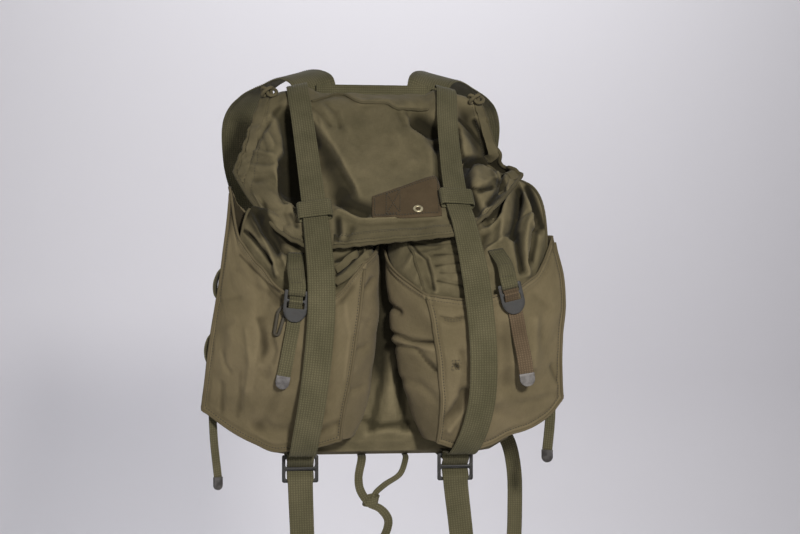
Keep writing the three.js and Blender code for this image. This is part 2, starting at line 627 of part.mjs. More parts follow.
// One surface over inner gusset, front panel and outer gusset, and down over the bottom gusset. Where a side
// gusset and the bottom gusset would meet they fold onto one edge, as the sewn corner does.
function pocketSurface(pocket) {
  const { gusset, across, down } = POCKET_STEPS;
  return (u, v, target) => {
    const column = Math.round(u * (across + 2 * gusset)) - gusset;
    const row = Math.round(v * (down + gusset));
    const share = THREE.MathUtils.clamp(column / across, 0, 1);
    const beside = Math.max(-column, column - across, 0) / gusset;
    const under = Math.max(row - down, 0) / gusset;
    const place = Math.min(row / down, 1);
    if (beside === 0 && under === 0) pocketPanel(pocket, share, place, target);
    else if (under === 0) pocketGusset(pocket, share, place, beside, false, target);
    else if (beside === 0 && share > 0 && share < 1) pocketGusset(pocket, share, 1, under, true, target);
    else pocketGusset(pocket, share, 1, Math.max(beside, under), false, target);
  };
}

const stayOffSack = (point) => {
  point.y = Math.min(point.y, -SACK_FRONT - SEAM_GAP);
};

for (const [name, pocket] of Object.entries(POCKETS)) {
  const { gusset, across, down } = POCKET_STEPS;
  const shell = wall(pocketSurface(pocket), across + 2 * gusset, down + gusset, DUCK,
    { flip: pocket.sign > 0, seat: stayOffSack });
  add(`pocket_${name}`, shell, FADED_OLIVE);
}

// The pocket flaps, from the sack's front over the contents and into the mouth
function pocketFlapPoint(pocket, share, v, target, lift = 0) {
  const rim = THREE.MathUtils.lerp(POCKET_FLAP.innerShare, POCKET_FLAP.outerShare, share);
  const lip = new THREE.Vector3();
  pocketPanel(pocket, rim, 0, lip);
  const top = THREE.MathUtils.lerp(POCKET_FLAP.innerTop, POCKET_FLAP.outerTop, share);
  const endY = Math.min(lip.y + DUCK + POCKET_FLAP.clear + DUCK, -SACK_FRONT - 2 * DUCK);
  const turn = (v * Math.PI) / 2;
  const out = Math.sin(turn) ** POCKET_FLAP.curl;
  const down = 1 - Math.cos(turn);
  target.set(
    THREE.MathUtils.lerp(pocket.sign * top, lip.x, v),
    THREE.MathUtils.lerp(-SACK_FRONT - SEAM_GAP - DUCK, endY, out) - lift,
    THREE.MathUtils.lerp(POCKET_FLAP.topZ, lip.z - POCKET_FLAP.tuck, down) + lift * 0.5,
  );
}

// The flap's point at a given distance from the middle of the pack
function pocketFlapAt(pocket, x, v, lift) {
  const point = new THREE.Vector3();
  let low = 0;
  let high = 1;
  for (let i = 0; i < HALVINGS; i += 1) {
    const share = (low + high) / 2;
    pocketFlapPoint(pocket, share, v, point, lift);
    if (Math.abs(point.x) < Math.abs(x)) low = share;
    else high = share;
  }
  return point;
}

for (const [name, pocket] of Object.entries(POCKETS)) {
  const surface = (u, v, target) => pocketFlapPoint(pocket, u, v, target);
  const { across, down } = POCKET_FLAP_STEPS;
  const sheet = wall(surface, across, down, DUCK, { flip: pocket.sign > 0, seat: stayOffSack });
  add(`pocket_flap_${name}`, sheet, OLIVE);
}

// The closing straps, their keepers and the buckles they run through
function barZ(bar) {
  return BOTTOM_BUCKLE.z + bar * (BOTTOM_BUCKLE.height / 2 - BOTTOM_BUCKLE.bar / 2);
}

function buckleFrame({ width, height, bar, side, thick, corner }) {
  const frame = new THREE.Shape();
  frame.moveTo(-width / 2 + corner, -height / 2);
  for (const [x, y, from] of [[1, -1, -90], [1, 1, 0], [-1, 1, 90], [-1, -1, 180]]) {
    const start = THREE.MathUtils.degToRad(from);
    const [middleX, middleY] = [x * (width / 2 - corner), y * (height / 2 - corner)];
    frame.absarc(middleX, middleY, corner, start, start + Math.PI / 2, false);
  }
  for (const half of [-1, 1]) {
    const slot = new THREE.Path();
    const [low, high] = half < 0 ? [-height / 2 + bar, -bar / 2] : [bar / 2, height / 2 - bar];
    const reach = width / 2 - side;
    slot.setFromPoints([
      new THREE.Vector2(-reach, low), new THREE.Vector2(-reach, high),
      new THREE.Vector2(reach, high), new THREE.Vector2(reach, low),
    ]);
    frame.holes.push(slot);
  }
  return new THREE.ExtrudeGeometry(frame, { depth: thick, bevelEnabled: false, curveSegments: 4 })
    .translate(0, 0, -thick / 2)
    .rotateX(Math.PI / 2);
}

function keeperRing() {
  const { length, width, height, wall: thick, corner } = KEEPER;
  const outline = (inset, path) => {
    const [w, h, r] = [width / 2 - inset, height / 2 - inset, Math.max(corner - inset, 0.6)];
    path.moveTo(-w + r, -h);
    for (const [x, y, from] of [[1, -1, -90], [1, 1, 0], [-1, 1, 90], [-1, -1, 180]]) {
      const start = THREE.MathUtils.degToRad(from);
      path.absarc(x * (w - r), y * (h - r), r, start, start + Math.PI / 2, false);
    }
    return path;
  };
  const ring = outline(0, new THREE.Shape());
  ring.holes.push(outline(thick, new THREE.Path()));
  return new THREE.ExtrudeGeometry(ring, { depth: length, bevelEnabled: false, curveSegments: 3 })
    .translate(0, 0, -length / 2);
}

// A strap's station on the flap, with the strap lying as the flap does from one of its edges to the other
function flapStation(x, v) {
  const middle = flapBase(flapSide(x, v), v, new THREE.Vector3(), STRAP_OFF_FLAP);
  const right = flapBase(flapSide(x + KEEPER.width / 2, v), v, new THREE.Vector3());
  const across = right.sub(flapBase(flapSide(x - KEEPER.width / 2, v), v, new THREE.Vector3())).normalize();
  return { x: middle.x, y: middle.y, z: middle.z, acrossX: across.x, acrossY: across.y, acrossZ: across.z };
}

for (const name of ["left", "right"]) {
  const x = BUCKLE_X[name];
  const weave = BOTTOM_BUCKLE.thick / 2 + SEAM_GAP + WEBBING / 2;
  const loopDepth = weave + WEBBING + 2 * SEAM_GAP + BEND_SLACK;
  const end = CLOSING_TAIL_END[name];
  const onFlap = CLOSING[name].onFlap.map(({ v, x: at }) => flapStation(at, v));
  const route = [
    ...onFlap,
    ...CLOSING[name].below,
    { x, y: BOTTOM_BUCKLE.y - loopDepth - BEND_SLACK, z: barZ(1) + BAR_REACH },
    { x, y: BOTTOM_BUCKLE.y - loopDepth - BEND_SLACK, z: barZ(1) - BAR_REACH },
    { x, y: BOTTOM_BUCKLE.y + weave + BEND_SLACK, z: barZ(0) + BAR_REACH / 2 },
    { x, y: BOTTOM_BUCKLE.y + weave + BEND_SLACK, z: barZ(0) - BAR_REACH / 2 },
    { x, y: BOTTOM_BUCKLE.y - weave - BEND_SLACK, z: barZ(-1) + BAR_REACH },
    { x, y: BOTTOM_BUCKLE.y - weave - BEND_SLACK, z: barZ(-1) - BAR_REACH },
    { x: (x + end.x) / 2, y: BOTTOM_BUCKLE.y, z: (barZ(-1) + end.z) / 2 },
    end,
  ];
  add(`closing_strap_${name}`, strap(route, WIDE_WEBBING), WEBBING_GREEN);

  const buckle = add(`bottom_buckle_${name}`, buckleFrame(BOTTOM_BUCKLE), STEEL_GREY, PAINTED_STEEL);
  buckle.position.set(x, BOTTOM_BUCKLE.y, BOTTOM_BUCKLE.z);

  const underBar = BOTTOM_BUCKLE.bar / 2 + WEBBING / 2 + BEND_SLACK;
  const anchor = [
    { x, y: ANCHOR.sewnFrom, z: SACK_BOTTOM - SEAM_GAP - WEBBING / 2 },
    { x, y: ANCHOR.sewnTo, z: SACK_BOTTOM - SEAM_GAP - WEBBING / 2 },
    { x, y: BOTTOM_BUCKLE.y + ANCHOR.tail / 2, z: barZ(1) - underBar },
    { x, y: BOTTOM_BUCKLE.y, z: barZ(1) - underBar },
    { x, y: BOTTOM_BUCKLE.y - weave - BEND_SLACK, z: barZ(1) },
    { x, y: BOTTOM_BUCKLE.y, z: barZ(1) + underBar },
    { x, y: BOTTOM_BUCKLE.y + ANCHOR.tail / 2, z: barZ(1) + underBar },
    { x, y: BOTTOM_BUCKLE.y + ANCHOR.tail, z: barZ(1) + underBar },
  ];
  add(`buckle_anchor_${name}`, strap(anchor, WIDE_WEBBING), WEBBING_GREEN);

  const held = onFlap[KEEPER_ROW];
  const ahead = onFlap[KEEPER_ROW + 1];
  const back = onFlap[KEEPER_ROW - 1];
  const along = new THREE.Vector3(ahead.x - back.x, ahead.y - back.y, ahead.z - back.z).normalize();
  const across = new THREE.Vector3(held.acrossX, held.acrossY, held.acrossZ);
  across.addScaledVector(along, -across.dot(along)).normalize();
  const off = new THREE.Vector3().crossVectors(along, across);
  const keeper = add(`keeper_${name}`, keeperRing(), WEBBING_GREEN);
  keeper.quaternion.setFromRotationMatrix(new THREE.Matrix4().makeBasis(across, off, along));
  keeper.position.set(held.x, held.y, held.z);
}

// The pocket fastenings
function pocketFront(pocket, x, z) {
  const row = (column) => smooth(pocket.seams, "z", column, z);
  const share = (pocket.sign * x - row("inner")) / (row("outer") - row("inner"));
  const point = new THREE.Vector3();
  const hem = smooth(pocket.hem, "share", "z", share);
  const bottom = smooth(pocket.bottom, "share", "z", share);
  pocketPanel(pocket, share, THREE.MathUtils.clamp((z - hem) / (bottom - hem), 0, 1), point);
  return point.y;
}

function plateBuckle({ width, plate, slot, bar, side, thick }) {
  const frame = new THREE.Shape();
  const half = width / 2;
  frame.moveTo(-half, 0);
  frame.absellipse(0, 0, half, plate, Math.PI, 2 * Math.PI, false);
  frame.lineTo(half, 2 * slot + 2 * bar);
  frame.lineTo(-half, 2 * slot + 2 * bar);
  for (const low of [0.5, slot + bar]) {
    const hole = new THREE.Path();
    hole.setFromPoints([
      new THREE.Vector2(-half + side, low), new THREE.Vector2(-half + side, low + slot),
      new THREE.Vector2(half - side, low + slot), new THREE.Vector2(half - side, low),
    ]);
    frame.holes.push(hole);
  }
  return new THREE.ExtrudeGeometry(frame, { depth: thick, bevelEnabled: false, curveSegments: 10 })
    .translate(0, 0, -thick / 2)
    .rotateX(Math.PI / 2);
}

// A pressed metal end on a strap: straight sides and a round tip, hanging from its own top edge
function strapEnd(width) {
  const outline = new THREE.Shape();
  const straight = STRAP_END.length - width / 2;
  outline.moveTo(-width / 2, 0);
  outline.lineTo(-width / 2, -straight);
  outline.absarc(0, -straight, width / 2, Math.PI, 2 * Math.PI, false);
  outline.lineTo(width / 2, 0);
  const depth = STRAP_END.thick;
  return new THREE.ExtrudeGeometry(outline, { depth, bevelEnabled: false, curveSegments: 8 })
    .translate(0, 0, -depth / 2)
    .rotateX(Math.PI / 2);
}

for (const [name, pocket] of Object.entries(POCKETS)) {
  const f = FASTENING[name];
  const faceY = Math.min(...BUCKLE_HEIGHTS.map((up) => pocketFront(pocket, f.x, f.buckleZ + up)));
  const plateY = faceY - PLATE_OFF;
  const buckle = add(`pocket_buckle_${name}`, plateBuckle(POCKET_BUCKLE), STEEL_GREY, PAINTED_STEEL);
  buckle.position.set(f.x, plateY, f.buckleZ);
  buckle.rotation.y = -f.lean;

  const { slot, bar, thick } = POCKET_BUCKLE;
  const topBar = 2 * slot + 1.5 * bar; // up from the buckle's own middle
  const onBuckle = (up, forward) => ({
    x: f.x - Math.sin(f.lean) * up,
    y: plateY - forward,
    z: f.buckleZ + Math.cos(f.lean) * up,
    acrossX: Math.cos(f.lean),
    acrossZ: Math.sin(f.lean),
  });
  const wrap = thick / 2 + SEAM_GAP + WEBBING / 2;
  const sewn = pocketFlapAt(pocket, f.tabTopX, TAB_PLACE, WEBBING / 2 + SEAM_GAP);
  const tab = [
    { x: sewn.x, y: sewn.y, z: sewn.z },
    { x: (sewn.x + f.x) / 2, y: (sewn.y + plateY) / 2 - 4, z: (sewn.z + onBuckle(topBar, 0).z) / 2 + 3 },
    onBuckle(topBar + bar / 2 + 4, wrap + 0.6),
    onBuckle(topBar, wrap + 1),
    onBuckle(topBar - bar / 2 - 2.1, 0),
    onBuckle(topBar, -wrap - 1),
    onBuckle(topBar + 5, -wrap - 1),
  ];
  add(`pocket_tab_${name}`, strap(tab, NARROW_WEBBING), WEBBING_GREEN);

  const behind = -thick / 2 - SEAM_GAP - WEBBING / 2;
  const pastPlate = -POCKET_BUCKLE.plate - TAIL_PAST_PLATE;
  const tail = [slot + bar / 2, pastPlate / 4, pastPlate].map((up) => onBuckle(up, behind));
  const start = tail[2];
  for (const t of TAIL_SHARES) {
    const x = THREE.MathUtils.lerp(start.x, f.tailEndX, t);
    const z = THREE.MathUtils.lerp(start.z, f.tailEndZ, t);
    tail.push({ x, y: pocketFront(pocket, x, z) - TAIL_OFF - f.standOff * t, z });
  }
  add(`pocket_tail_${name}`, strap(tail, NARROW_WEBBING), f.tailColour);
  const tip = add(`pocket_tip_${name}`, strapEnd(NARROW_WEBBING), STEEL_GREY, PAINTED_STEEL);
  const last = tail[tail.length - 1];
  const prior = tail[tail.length - 2];
  const down = new THREE.Vector3(last.x - prior.x, last.y - prior.y, last.z - prior.z).normalize();
  tip.position.set(last.x, last.y, last.z).addScaledVector(down, SEAM_GAP * 1.5);
  tip.rotation.y = Math.atan2(-down.x, -down.z);
}

// The yoke and the shoulder straps
const yoke = new THREE.BoxGeometry(2 * YOKE.halfWidth, YOKE.thick, YOKE.top - YOKE.bottom, 4, 1, 1);
yoke.translate(0, SEAM_GAP + YOKE.thick / 2, (YOKE.top + YOKE.bottom) / 2);
add("yoke_band", yoke, WEBBING_GREEN);

for (const [name, { sign }] of Object.entries(POCKETS)) {
  const route = SHOULDER.map((s) => (
    { ...s, x: sign * s.x, acrossY: sign * s.acrossY, acrossZ: sign * s.acrossZ }));
  add(`shoulder_strap_${name}`, strap(route, SHOULDER_WIDTH), WEBBING_GREEN);
}
add("shoulder_tail_right", strap(SHOULDER_TAIL, NARROW_WEBBING), WEBBING_GREEN);

// The tails and loops on the pockets' outer gussets
function gussetPoint(pocket, z, depth) {
  const hem = pocket.hem[pocket.hem.length - 1].z;
  const bottom = pocket.bottom[pocket.bottom.length - 1].z;
  const point = new THREE.Vector3();
  pocketGusset(pocket, 1, (z - hem) / (bottom - hem), depth, false, point);
  return point;
}

function onGusset(pocket, z, depth, off) {
  const point = gussetPoint(pocket, z, depth);
  const nearer = gussetPoint(pocket, z, depth - GUSSET_STEP);
  const across = gussetPoint(pocket, z, depth + GUSSET_STEP).sub(nearer).setZ(0).normalize();
  const turned = -pocket.sign * Math.sign(across.y);
  const out = new THREE.Vector3(pocket.sign * Math.abs(across.y), turned * across.x, 0);
  point.addScaledVector(out, off);
  return { x: point.x, y: point.y, z, acrossX: across.x, acrossY: across.y, acrossZ: 0, out };
}

for (const [name, pocket] of Object.entries(POCKETS)) {
  const { topZ, endZ, drift, width, place } = SIDE_TAIL[name];
  const top = onGusset(pocket, topZ + SIDE_TAIL.sewn, place, TAIL_ON_GUSSET);
  const low = onGusset(pocket, topZ, place, TAIL_ON_GUSSET + SIDE_TAIL.kick);
  const route = [
    top,
    low,
    { ...low, x: low.x + drift * SIDE_TAIL.bend + pocket.sign, z: (topZ + endZ) / 2 },
    { ...low, x: low.x + drift, z: endZ },
  ];
  add(`side_tail_${name}`, strap(route, width), WEBBING_GREEN);
  const tip = add(`side_tip_${name}`, strapEnd(width), STEEL_GREY, PAINTED_STEEL);
  tip.position.set(route[3].x, route[3].y, endZ - SEAM_GAP * 2);
  tip.rotation.z = Math.atan2(low.acrossY, low.acrossX);
}

for (const [name, z] of Object.entries(SIDE_LOOPS)) {
  const stations = [0, 0.25, 0.5, 0.75, 1].map((t) => {
    const rise = SIDE_LOOP.rise * Math.sin(Math.PI * t);
    return onGusset(POCKETS.left, z + SIDE_LOOP.length * (0.5 - t), 0.5, LOOP_ON_GUSSET + rise);
  });
  add(`side_loop_${name}`, strap(stations, SIDE_LOOP.width), WEBBING_GREEN);
}

// The tie tape under the sack and the loop it is drawn through
function twisted(stations) {
  return stations.map((s, i) => ({ ...s, acrossX: 1, acrossY: TIE_TWIST * (i % 3), acrossZ: 0 }));
}

add("tie_tape", strap(twisted(TIE), TAPE, TAPE_THICK), WEBBING_GREEN);
add("tie_loop", strap(twisted(TIE_LOOP), TIE_LOOP_WIDTH, TAPE_THICK), WEBBING_GREEN);

// The drawn ends of the mouth's cord, knotted at the flap's corners
for (const [name, { sign }] of Object.entries(POCKETS)) {
  const seat = flapBase(sign * KNOT.side, KNOT.v, new THREE.Vector3());
  const knot = new THREE.TorusKnotGeometry(KNOT.radius, KNOT.cord, 40, 6, 2, 3);
  add(`corner_knot_${name}`, knot, OLIVE).position.set(seat.x, seat.y, seat.z + KNOT.lift);
}

export default rucksack;
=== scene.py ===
# %% [markdown]
# # A canvas rucksack as it hangs when it is worn
# A sack of cotton duck has a broad flap, two full pockets and webbing straps. The measured model says
# where each piece sits, and this lesson makes it again there as sewn cloth, webbing or steel.

# %% Load the measured model
import math

import bmesh
import bpy
import numpy as np
from mathutils import Matrix, Vector
from mathutils.kdtree import KDTree


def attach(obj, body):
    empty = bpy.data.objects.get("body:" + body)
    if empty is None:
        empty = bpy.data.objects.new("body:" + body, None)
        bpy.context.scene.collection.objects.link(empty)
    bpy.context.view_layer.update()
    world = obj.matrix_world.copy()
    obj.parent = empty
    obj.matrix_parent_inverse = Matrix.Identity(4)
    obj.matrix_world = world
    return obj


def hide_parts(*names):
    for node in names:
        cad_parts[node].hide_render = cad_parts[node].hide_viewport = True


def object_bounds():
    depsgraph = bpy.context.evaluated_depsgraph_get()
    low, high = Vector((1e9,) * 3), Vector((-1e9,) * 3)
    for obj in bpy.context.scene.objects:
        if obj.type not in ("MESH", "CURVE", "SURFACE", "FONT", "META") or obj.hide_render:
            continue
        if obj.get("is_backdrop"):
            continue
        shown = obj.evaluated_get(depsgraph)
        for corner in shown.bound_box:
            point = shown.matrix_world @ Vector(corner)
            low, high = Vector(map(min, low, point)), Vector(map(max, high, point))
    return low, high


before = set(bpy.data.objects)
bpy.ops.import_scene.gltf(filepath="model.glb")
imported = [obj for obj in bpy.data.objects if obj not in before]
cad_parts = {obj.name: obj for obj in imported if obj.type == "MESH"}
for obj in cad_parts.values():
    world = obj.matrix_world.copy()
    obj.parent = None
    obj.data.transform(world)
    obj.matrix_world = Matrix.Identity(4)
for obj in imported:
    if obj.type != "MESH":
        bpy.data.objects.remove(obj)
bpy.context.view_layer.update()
MM = 0.001

# %% [markdown]
# ## The camera
# The picture is taken from a little to the left, level with the pack's middle. A small function tells
# which pixel any point falls on, since creases are easiest to read there.

# %% Camera
PICTURE_WIDTH = 800
PICTURE_HEIGHT = 534
LENS = 70.0
SENSOR = 36.0
CAMERA_TURN = math.radians(-7)
CAMERA_AT = np.array([-202.5, -1936.8, -219.0])


def link(name, data):
    """Puts a new object of some data in the scene."""
    item = bpy.data.objects.new(name, data)
    bpy.context.scene.collection.objects.link(item)
    return item


def seen(points):
    """Tells the pixel, across and down, that points in mm fall on."""
    offset = points - CAMERA_AT
    turn = -CAMERA_TURN
    ahead = offset[..., 0] * math.sin(turn) + offset[..., 1] * math.cos(turn)
    right = offset[..., 0] * math.cos(turn) - offset[..., 1] * math.sin(turn)
    focal = LENS / SENSOR * PICTURE_WIDTH
    across = PICTURE_WIDTH / 2 + focal * right / ahead
    down = PICTURE_HEIGHT / 2 - focal * offset[..., 2] / ahead
    return across, down


camera = link("camera", bpy.data.cameras.new("camera"))
camera.data.lens = LENS
camera.data.sensor_width = SENSOR
camera.location = Vector(CAMERA_AT * MM)
camera.rotation_euler = (math.pi / 2, 0, CAMERA_TURN)
bpy.context.scene.camera = camera
print("the origin falls on pixel", [round(float(value), 1) for value in seen(np.zeros(3))])

# %% [markdown]
# ## The stage
# A sheet of pale paper runs under the pack and bends up behind it. One line is spun through the bend and
# drawn out sideways.

# %% Stage
FLOOR_Z = -1.3
FLOOR_FRONT = -3.2
SWEEP_START = 2.6
SWEEP_RADIUS = 0.7
SWEEP_STEPS = 12
WALL_TOP = 2.6
STAGE_HALF = 4.0
PAPER_COLOUR = (0.66, 0.65, 0.69, 1)
PAPER_ROUGHNESS = 0.9


def verts_in(made):
    """Picks the vertices out of what an operator made."""
    return [item for item in made if isinstance(item, bmesh.types.BMVert)]


def to_object(bm, name):
    """Makes a smooth shaded object of a mesh."""
    mesh = bpy.data.meshes.new(name)
    bm.to_mesh(mesh)
    bm.free()
    if mesh.uv_layers:
        mesh.uv_layers[0].name = "weave"
    mesh.polygons.foreach_set("use_smooth", [True] * len(mesh.polygons))
    return link(name, mesh)


def new_look(name, values):
    """Starts a material and sets plain values on its shader."""
    look = bpy.data.materials.new(name)
    look.use_nodes = True
    shader = look.node_tree.nodes["Principled BSDF"]
    for key, value in values.items():
        shader.inputs[key].default_value = value
    return look, look.node_tree, shader


bm = bmesh.new()
first = bm.verts.new((-STAGE_HALF, FLOOR_FRONT, FLOOR_Z))
corner = bm.verts.new((-STAGE_HALF, SWEEP_START, FLOOR_Z))
bm.edges.new((first, corner))
bmesh.ops.spin(
    bm, geom=[corner], cent=(0, SWEEP_START, FLOOR_Z + SWEEP_RADIUS), axis=(1, 0, 0),
    angle=math.pi / 2, steps=SWEEP_STEPS)
top = max(bm.verts, key=lambda vert: vert.co.y + vert.co.z)
raised = bmesh.ops.extrude_vert_indiv(bm, verts=[top])["verts"][0]
raised.co.z = WALL_TOP
made = bmesh.ops.extrude_edge_only(bm, edges=bm.edges[:])["geom"]
bmesh.ops.translate(bm, vec=(2 * STAGE_HALF, 0, 0), verts=verts_in(made))
bmesh.ops.recalc_face_normals(bm, faces=bm.faces[:])
paper = to_object(bm, "paper")
paper.data.materials.append(new_look("paper", {"Base Color": PAPER_COLOUR, "Roughness": PAPER_ROUGHNESS})[0])
paper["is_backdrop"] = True
print("paper faces:", len(paper.data.polygons))

# %% [markdown]
# ## The lamps
# A small key lamp from the right models the folds, and a weaker one fills from the left. Soft lamps
# light the other sides, and two light the paper.

# %% Lamps
PACK_FRONT = (0, -0.1, -0.25)
PACK_MIDDLE = (0, 0, -0.25)
WHITE = (1, 1, 1)
WARM = (1.0, 0.97, 0.92)
COOL = (0.97, 0.98, 1.0)
# Each lamp's place, target, size in metres, power in watts and colour
LAMPS = {
    "key_lamp": ((0.37, -2.4, 0.42), PACK_FRONT, 0.24, 66, WARM),
    "fill_lamp": ((-0.6, -2.8, -0.15), PACK_FRONT, 0.6, 13, COOL),
    "top_lamp": ((-0.2, 0.2, 1.6), (0, 0, -0.1), 0.9, 3, WHITE),
    "side_lamp_right": ((2.4, 0.6, 0.3), PACK_MIDDLE, 1.2, 9, WHITE),
    "side_lamp_left": ((-2.4, 0.6, 0.3), PACK_MIDDLE, 1.2, 9, WHITE),
    "back_lamp": ((0.3, 2.3, 0.9), PACK_MIDDLE, 1.0, 14, WHITE),
    "wall_lamp": ((0.5, 1.9, 2.1), (0.35, 3.3, 0.0), 2.2, 57, WHITE),
    "low_wall_lamp": ((-0.1, 2.1, -1.2), (-0.1, 3.3, -0.4), 1.8, 9, WHITE),
}
ROOM_COLOUR = (0.80, 0.81, 0.86, 1)
ROOM_STRENGTH = 0.05

for name, (place, target, size, power, colour) in LAMPS.items():
    light = bpy.data.lights.new(name, "AREA")
    light.size = size
    light.energy = power
    light.color = colour
    holder = link(name, light)
    holder.location = place
    holder.rotation_euler = (Vector(target) - Vector(place)).to_track_quat("-Z", "Y").to_euler()
    holder.visible_camera = False
world = bpy.data.worlds.new("studio")
bpy.context.scene.world = world
world.use_nodes = True
world.node_tree.nodes["Background"].inputs["Color"].default_value = ROOM_COLOUR
world.node_tree.nodes["Background"].inputs["Strength"].default_value = ROOM_STRENGTH
bpy.context.scene.view_settings.view_transform = "Standard"
print("stage and", len(LAMPS), "lamps set")

# %% [markdown]
# ## Mixing materials
# A look is a small tree of noise, ramps and mixes. Each helper adds one node, so a look reads as layers,
# from the dye up to the dirt.

# %% Material helpers
def add_node(tree, kind, inputs=None, **settings):
    """Adds a node, sets it and fills its inputs with values or links."""
    node = tree.nodes.new("ShaderNode" + kind)
    for key, value in settings.items():
        setattr(node, key, value)
    for key, value in (inputs or {}).items():
        if isinstance(value, bpy.types.NodeSocket):
            tree.links.new(value, node.inputs[key])
        else:
            node.inputs[key].default_value = value
    return node


def ramp(tree, value, low, high, start=(0, 0, 0), end=(1, 1, 1)):
    """Turns a number into a colour, from start at low to end at high."""
    node = add_node(tree, "ValToRGB", {"Fac": value})
    for element, position, colour in zip(node.color_ramp.elements, (low, high), (start, end)):
        element.position = position
        element.color = (*colour, 1)
    return node.outputs["Color"]


def grey(level):
    """Gives the grey of a level."""
    return (level,) * 3


def blend(tree, share, first, second, kind="MIX"):
    """Mixes two colours."""
    node = add_node(tree, "Mix", data_type="RGBA", blend_type=kind)
    for key, value in (("Factor", share), ("A", first), ("B", second)):
        socket = next(item for item in node.inputs if item.name == key and item.enabled)
        if isinstance(value, bpy.types.NodeSocket):
            tree.links.new(value, socket)
        else:
            socket.default_value = value if key == "Factor" else (*value, 1)
    return next(item for item in node.outputs if item.enabled)


def times(tree, first, second):
    """Multiplies two numbers."""
    return add_node(tree, "Math", {0: first, 1: second}, operation="MULTIPLY").outputs[0]


def plus(tree, first, second):
    """Adds two numbers."""
    return add_node(tree, "Math", {0: first, 1: second}, operation="ADD").outputs[0]


def noise(tree, vector, scale, detail=4.0, rough=0.55):
    """Gives cloudy noise."""
    inputs = {"Vector": vector, "Scale": scale, "Detail": detail, "Roughness": rough}
    return add_node(tree, "TexNoise", inputs).outputs["Fac"]


def yarns(tree, vector, pitch, direction, wobble):
    """Gives bands across the flat pattern, a pitch in metres apart."""
    scale = 2 * math.pi / (20 * pitch)
    inputs = {"Vector": vector, "Scale": scale, "Distortion": wobble, "Detail Scale": 1.5}
    return add_node(tree, "TexWave", inputs, bands_direction=direction).outputs["Fac"]


def threads(tree, vector, across, along):
    """Gives uneven threads, as noise drawn out one way."""
    inputs = {0: vector, 1: (across, along, 1)}
    drawn = add_node(tree, "VectorMath", inputs, operation="MULTIPLY").outputs["Vector"]
    return noise(tree, drawn, 1.0, 2)


def bumped(tree, shader, height, distance, strength):
    """Puts a height in metres onto the shader as bump."""
    inputs = {"Height": height, "Distance": distance, "Strength": strength}
    tree.links.new(add_node(tree, "Bump", inputs).outputs["Normal"], shader.inputs["Normal"])


def in_place(tree):
    """Gives each point's place on the piece, in metres."""
    return add_node(tree, "TexCoord").outputs["Object"]


def in_pattern(tree):
    """Gives each point's place on the flat pattern, in metres."""
    return add_node(tree, "UVMap", uv_map="weave").outputs["UV"]


print("material helpers ready")

# %% [markdown]
# ## Cotton duck
# Old duck fades on its ridges and gets painted shade in its hollows, so each cloth point carries two numbers:
# the fold it stands on and the pit it lies in. The weave follows the flat pattern.

# %% Duck looks
THREADS_PER_METRE = 1500
THREAD_RUNS = 110
# Noise of the dye and of the dirt: scale, detail and roughness
DYE_CLOUDS = (13, 7, 0.62)
DIRT_CLOUDS = (21, 6, 0.65)
RIDGE_FADE = 1.25
PIT_SHADE = 0.34
NAP_SCALE = 110


def duck_look(name, colour, faded, deep, dirt, dirt_share, hollow_share=0.9):
    """Makes cotton duck: mottled dye, pale ridges, painted shade in hollows, dirt and a plain weave."""
    look, tree, shader = new_look(name, {"Roughness": 0.92, "Specular IOR Level": 0.1, "Sheen Weight": 0.03})
    place = in_place(tree)
    flat = in_pattern(tree)
    fold = add_node(tree, "Attribute", attribute_name="fold").outputs["Fac"]
    pit = add_node(tree, "Attribute", attribute_name="pit").outputs["Fac"]
    cloth = blend(tree, ramp(tree, noise(tree, place, *DYE_CLOUDS), 0.36, 0.66), colour, faded)
    ridge = ramp(tree, fold, 0.55, 0.9, end=grey(0.7))
    cloth = blend(tree, ridge, cloth, tuple(min(1, RIDGE_FADE * part) for part in faded))
    # Painted shade: low fold values (creases) and low pit values (hollows and darkened spots) go towards the
    # deep colour.
    hollow = ramp(tree, fold, 0.12, 0.47, grey(hollow_share), grey(0))
    cloth = blend(tree, hollow, cloth, deep)
    shade = ramp(tree, pit, 0.05, 0.45, grey(0.92), grey(0))
    cloth = blend(tree, shade, cloth, tuple(PIT_SHADE * part for part in deep))
    grime = ramp(tree, noise(tree, place, *DIRT_CLOUDS), 0.56, 0.74)
    cloth = blend(tree, times(tree, grime, dirt_share), cloth, dirt)
    warp = threads(tree, flat, THREADS_PER_METRE, THREAD_RUNS)
    weft = threads(tree, flat, THREAD_RUNS, THREADS_PER_METRE)
    weave = plus(tree, warp, weft)
    light = ramp(tree, times(tree, weave, 0.5), 0.36, 0.64, (0.89, 0.89, 0.88), (1.06, 1.06, 1.06))
    tree.links.new(blend(tree, 1.0, cloth, light, "MULTIPLY"), shader.inputs["Base Color"])
    height = plus(tree, weave, times(tree, noise(tree, flat, NAP_SCALE, 5), 2.0))
    bumped(tree, shader, height, 0.0006, 0.4)
    return look


OLIVE = duck_look(
    "olive_duck", colour=(0.074, 0.063, 0.035), faded=(0.120, 0.100, 0.058), deep=(0.040, 0.034, 0.018),
    dirt=(0.056, 0.045, 0.026), dirt_share=0.35)
FADED = duck_look(
    "faded_duck", colour=(0.106, 0.086, 0.048), faded=(0.134, 0.108, 0.063), deep=(0.048, 0.038, 0.021),
    dirt=(0.070, 0.056, 0.032), dirt_share=0.22, hollow_share=0.5)
BROWN = duck_look(
    "brown_duck", colour=(0.052, 0.037, 0.021), faded=(0.072, 0.052, 0.030), deep=(0.032, 0.023, 0.013),
    dirt=(0.045, 0.033, 0.020), dirt_share=0.3)
print("cloth looks:", [look.name for look in (OLIVE, FADED, BROWN)])

# %% [markdown]
# ## Webbing, steel, brass and thread
# Webbing shows ribs along it and fine picks across. Steel is painted, rubbed bright in patches and rusty in
# others. Thread is nearly black, so the stitch rows also paint the dark shade lines along seams.

# %% Webbing, metal and thread looks
RIB_PITCH = 0.0029
PICK_PITCH = 0.0027


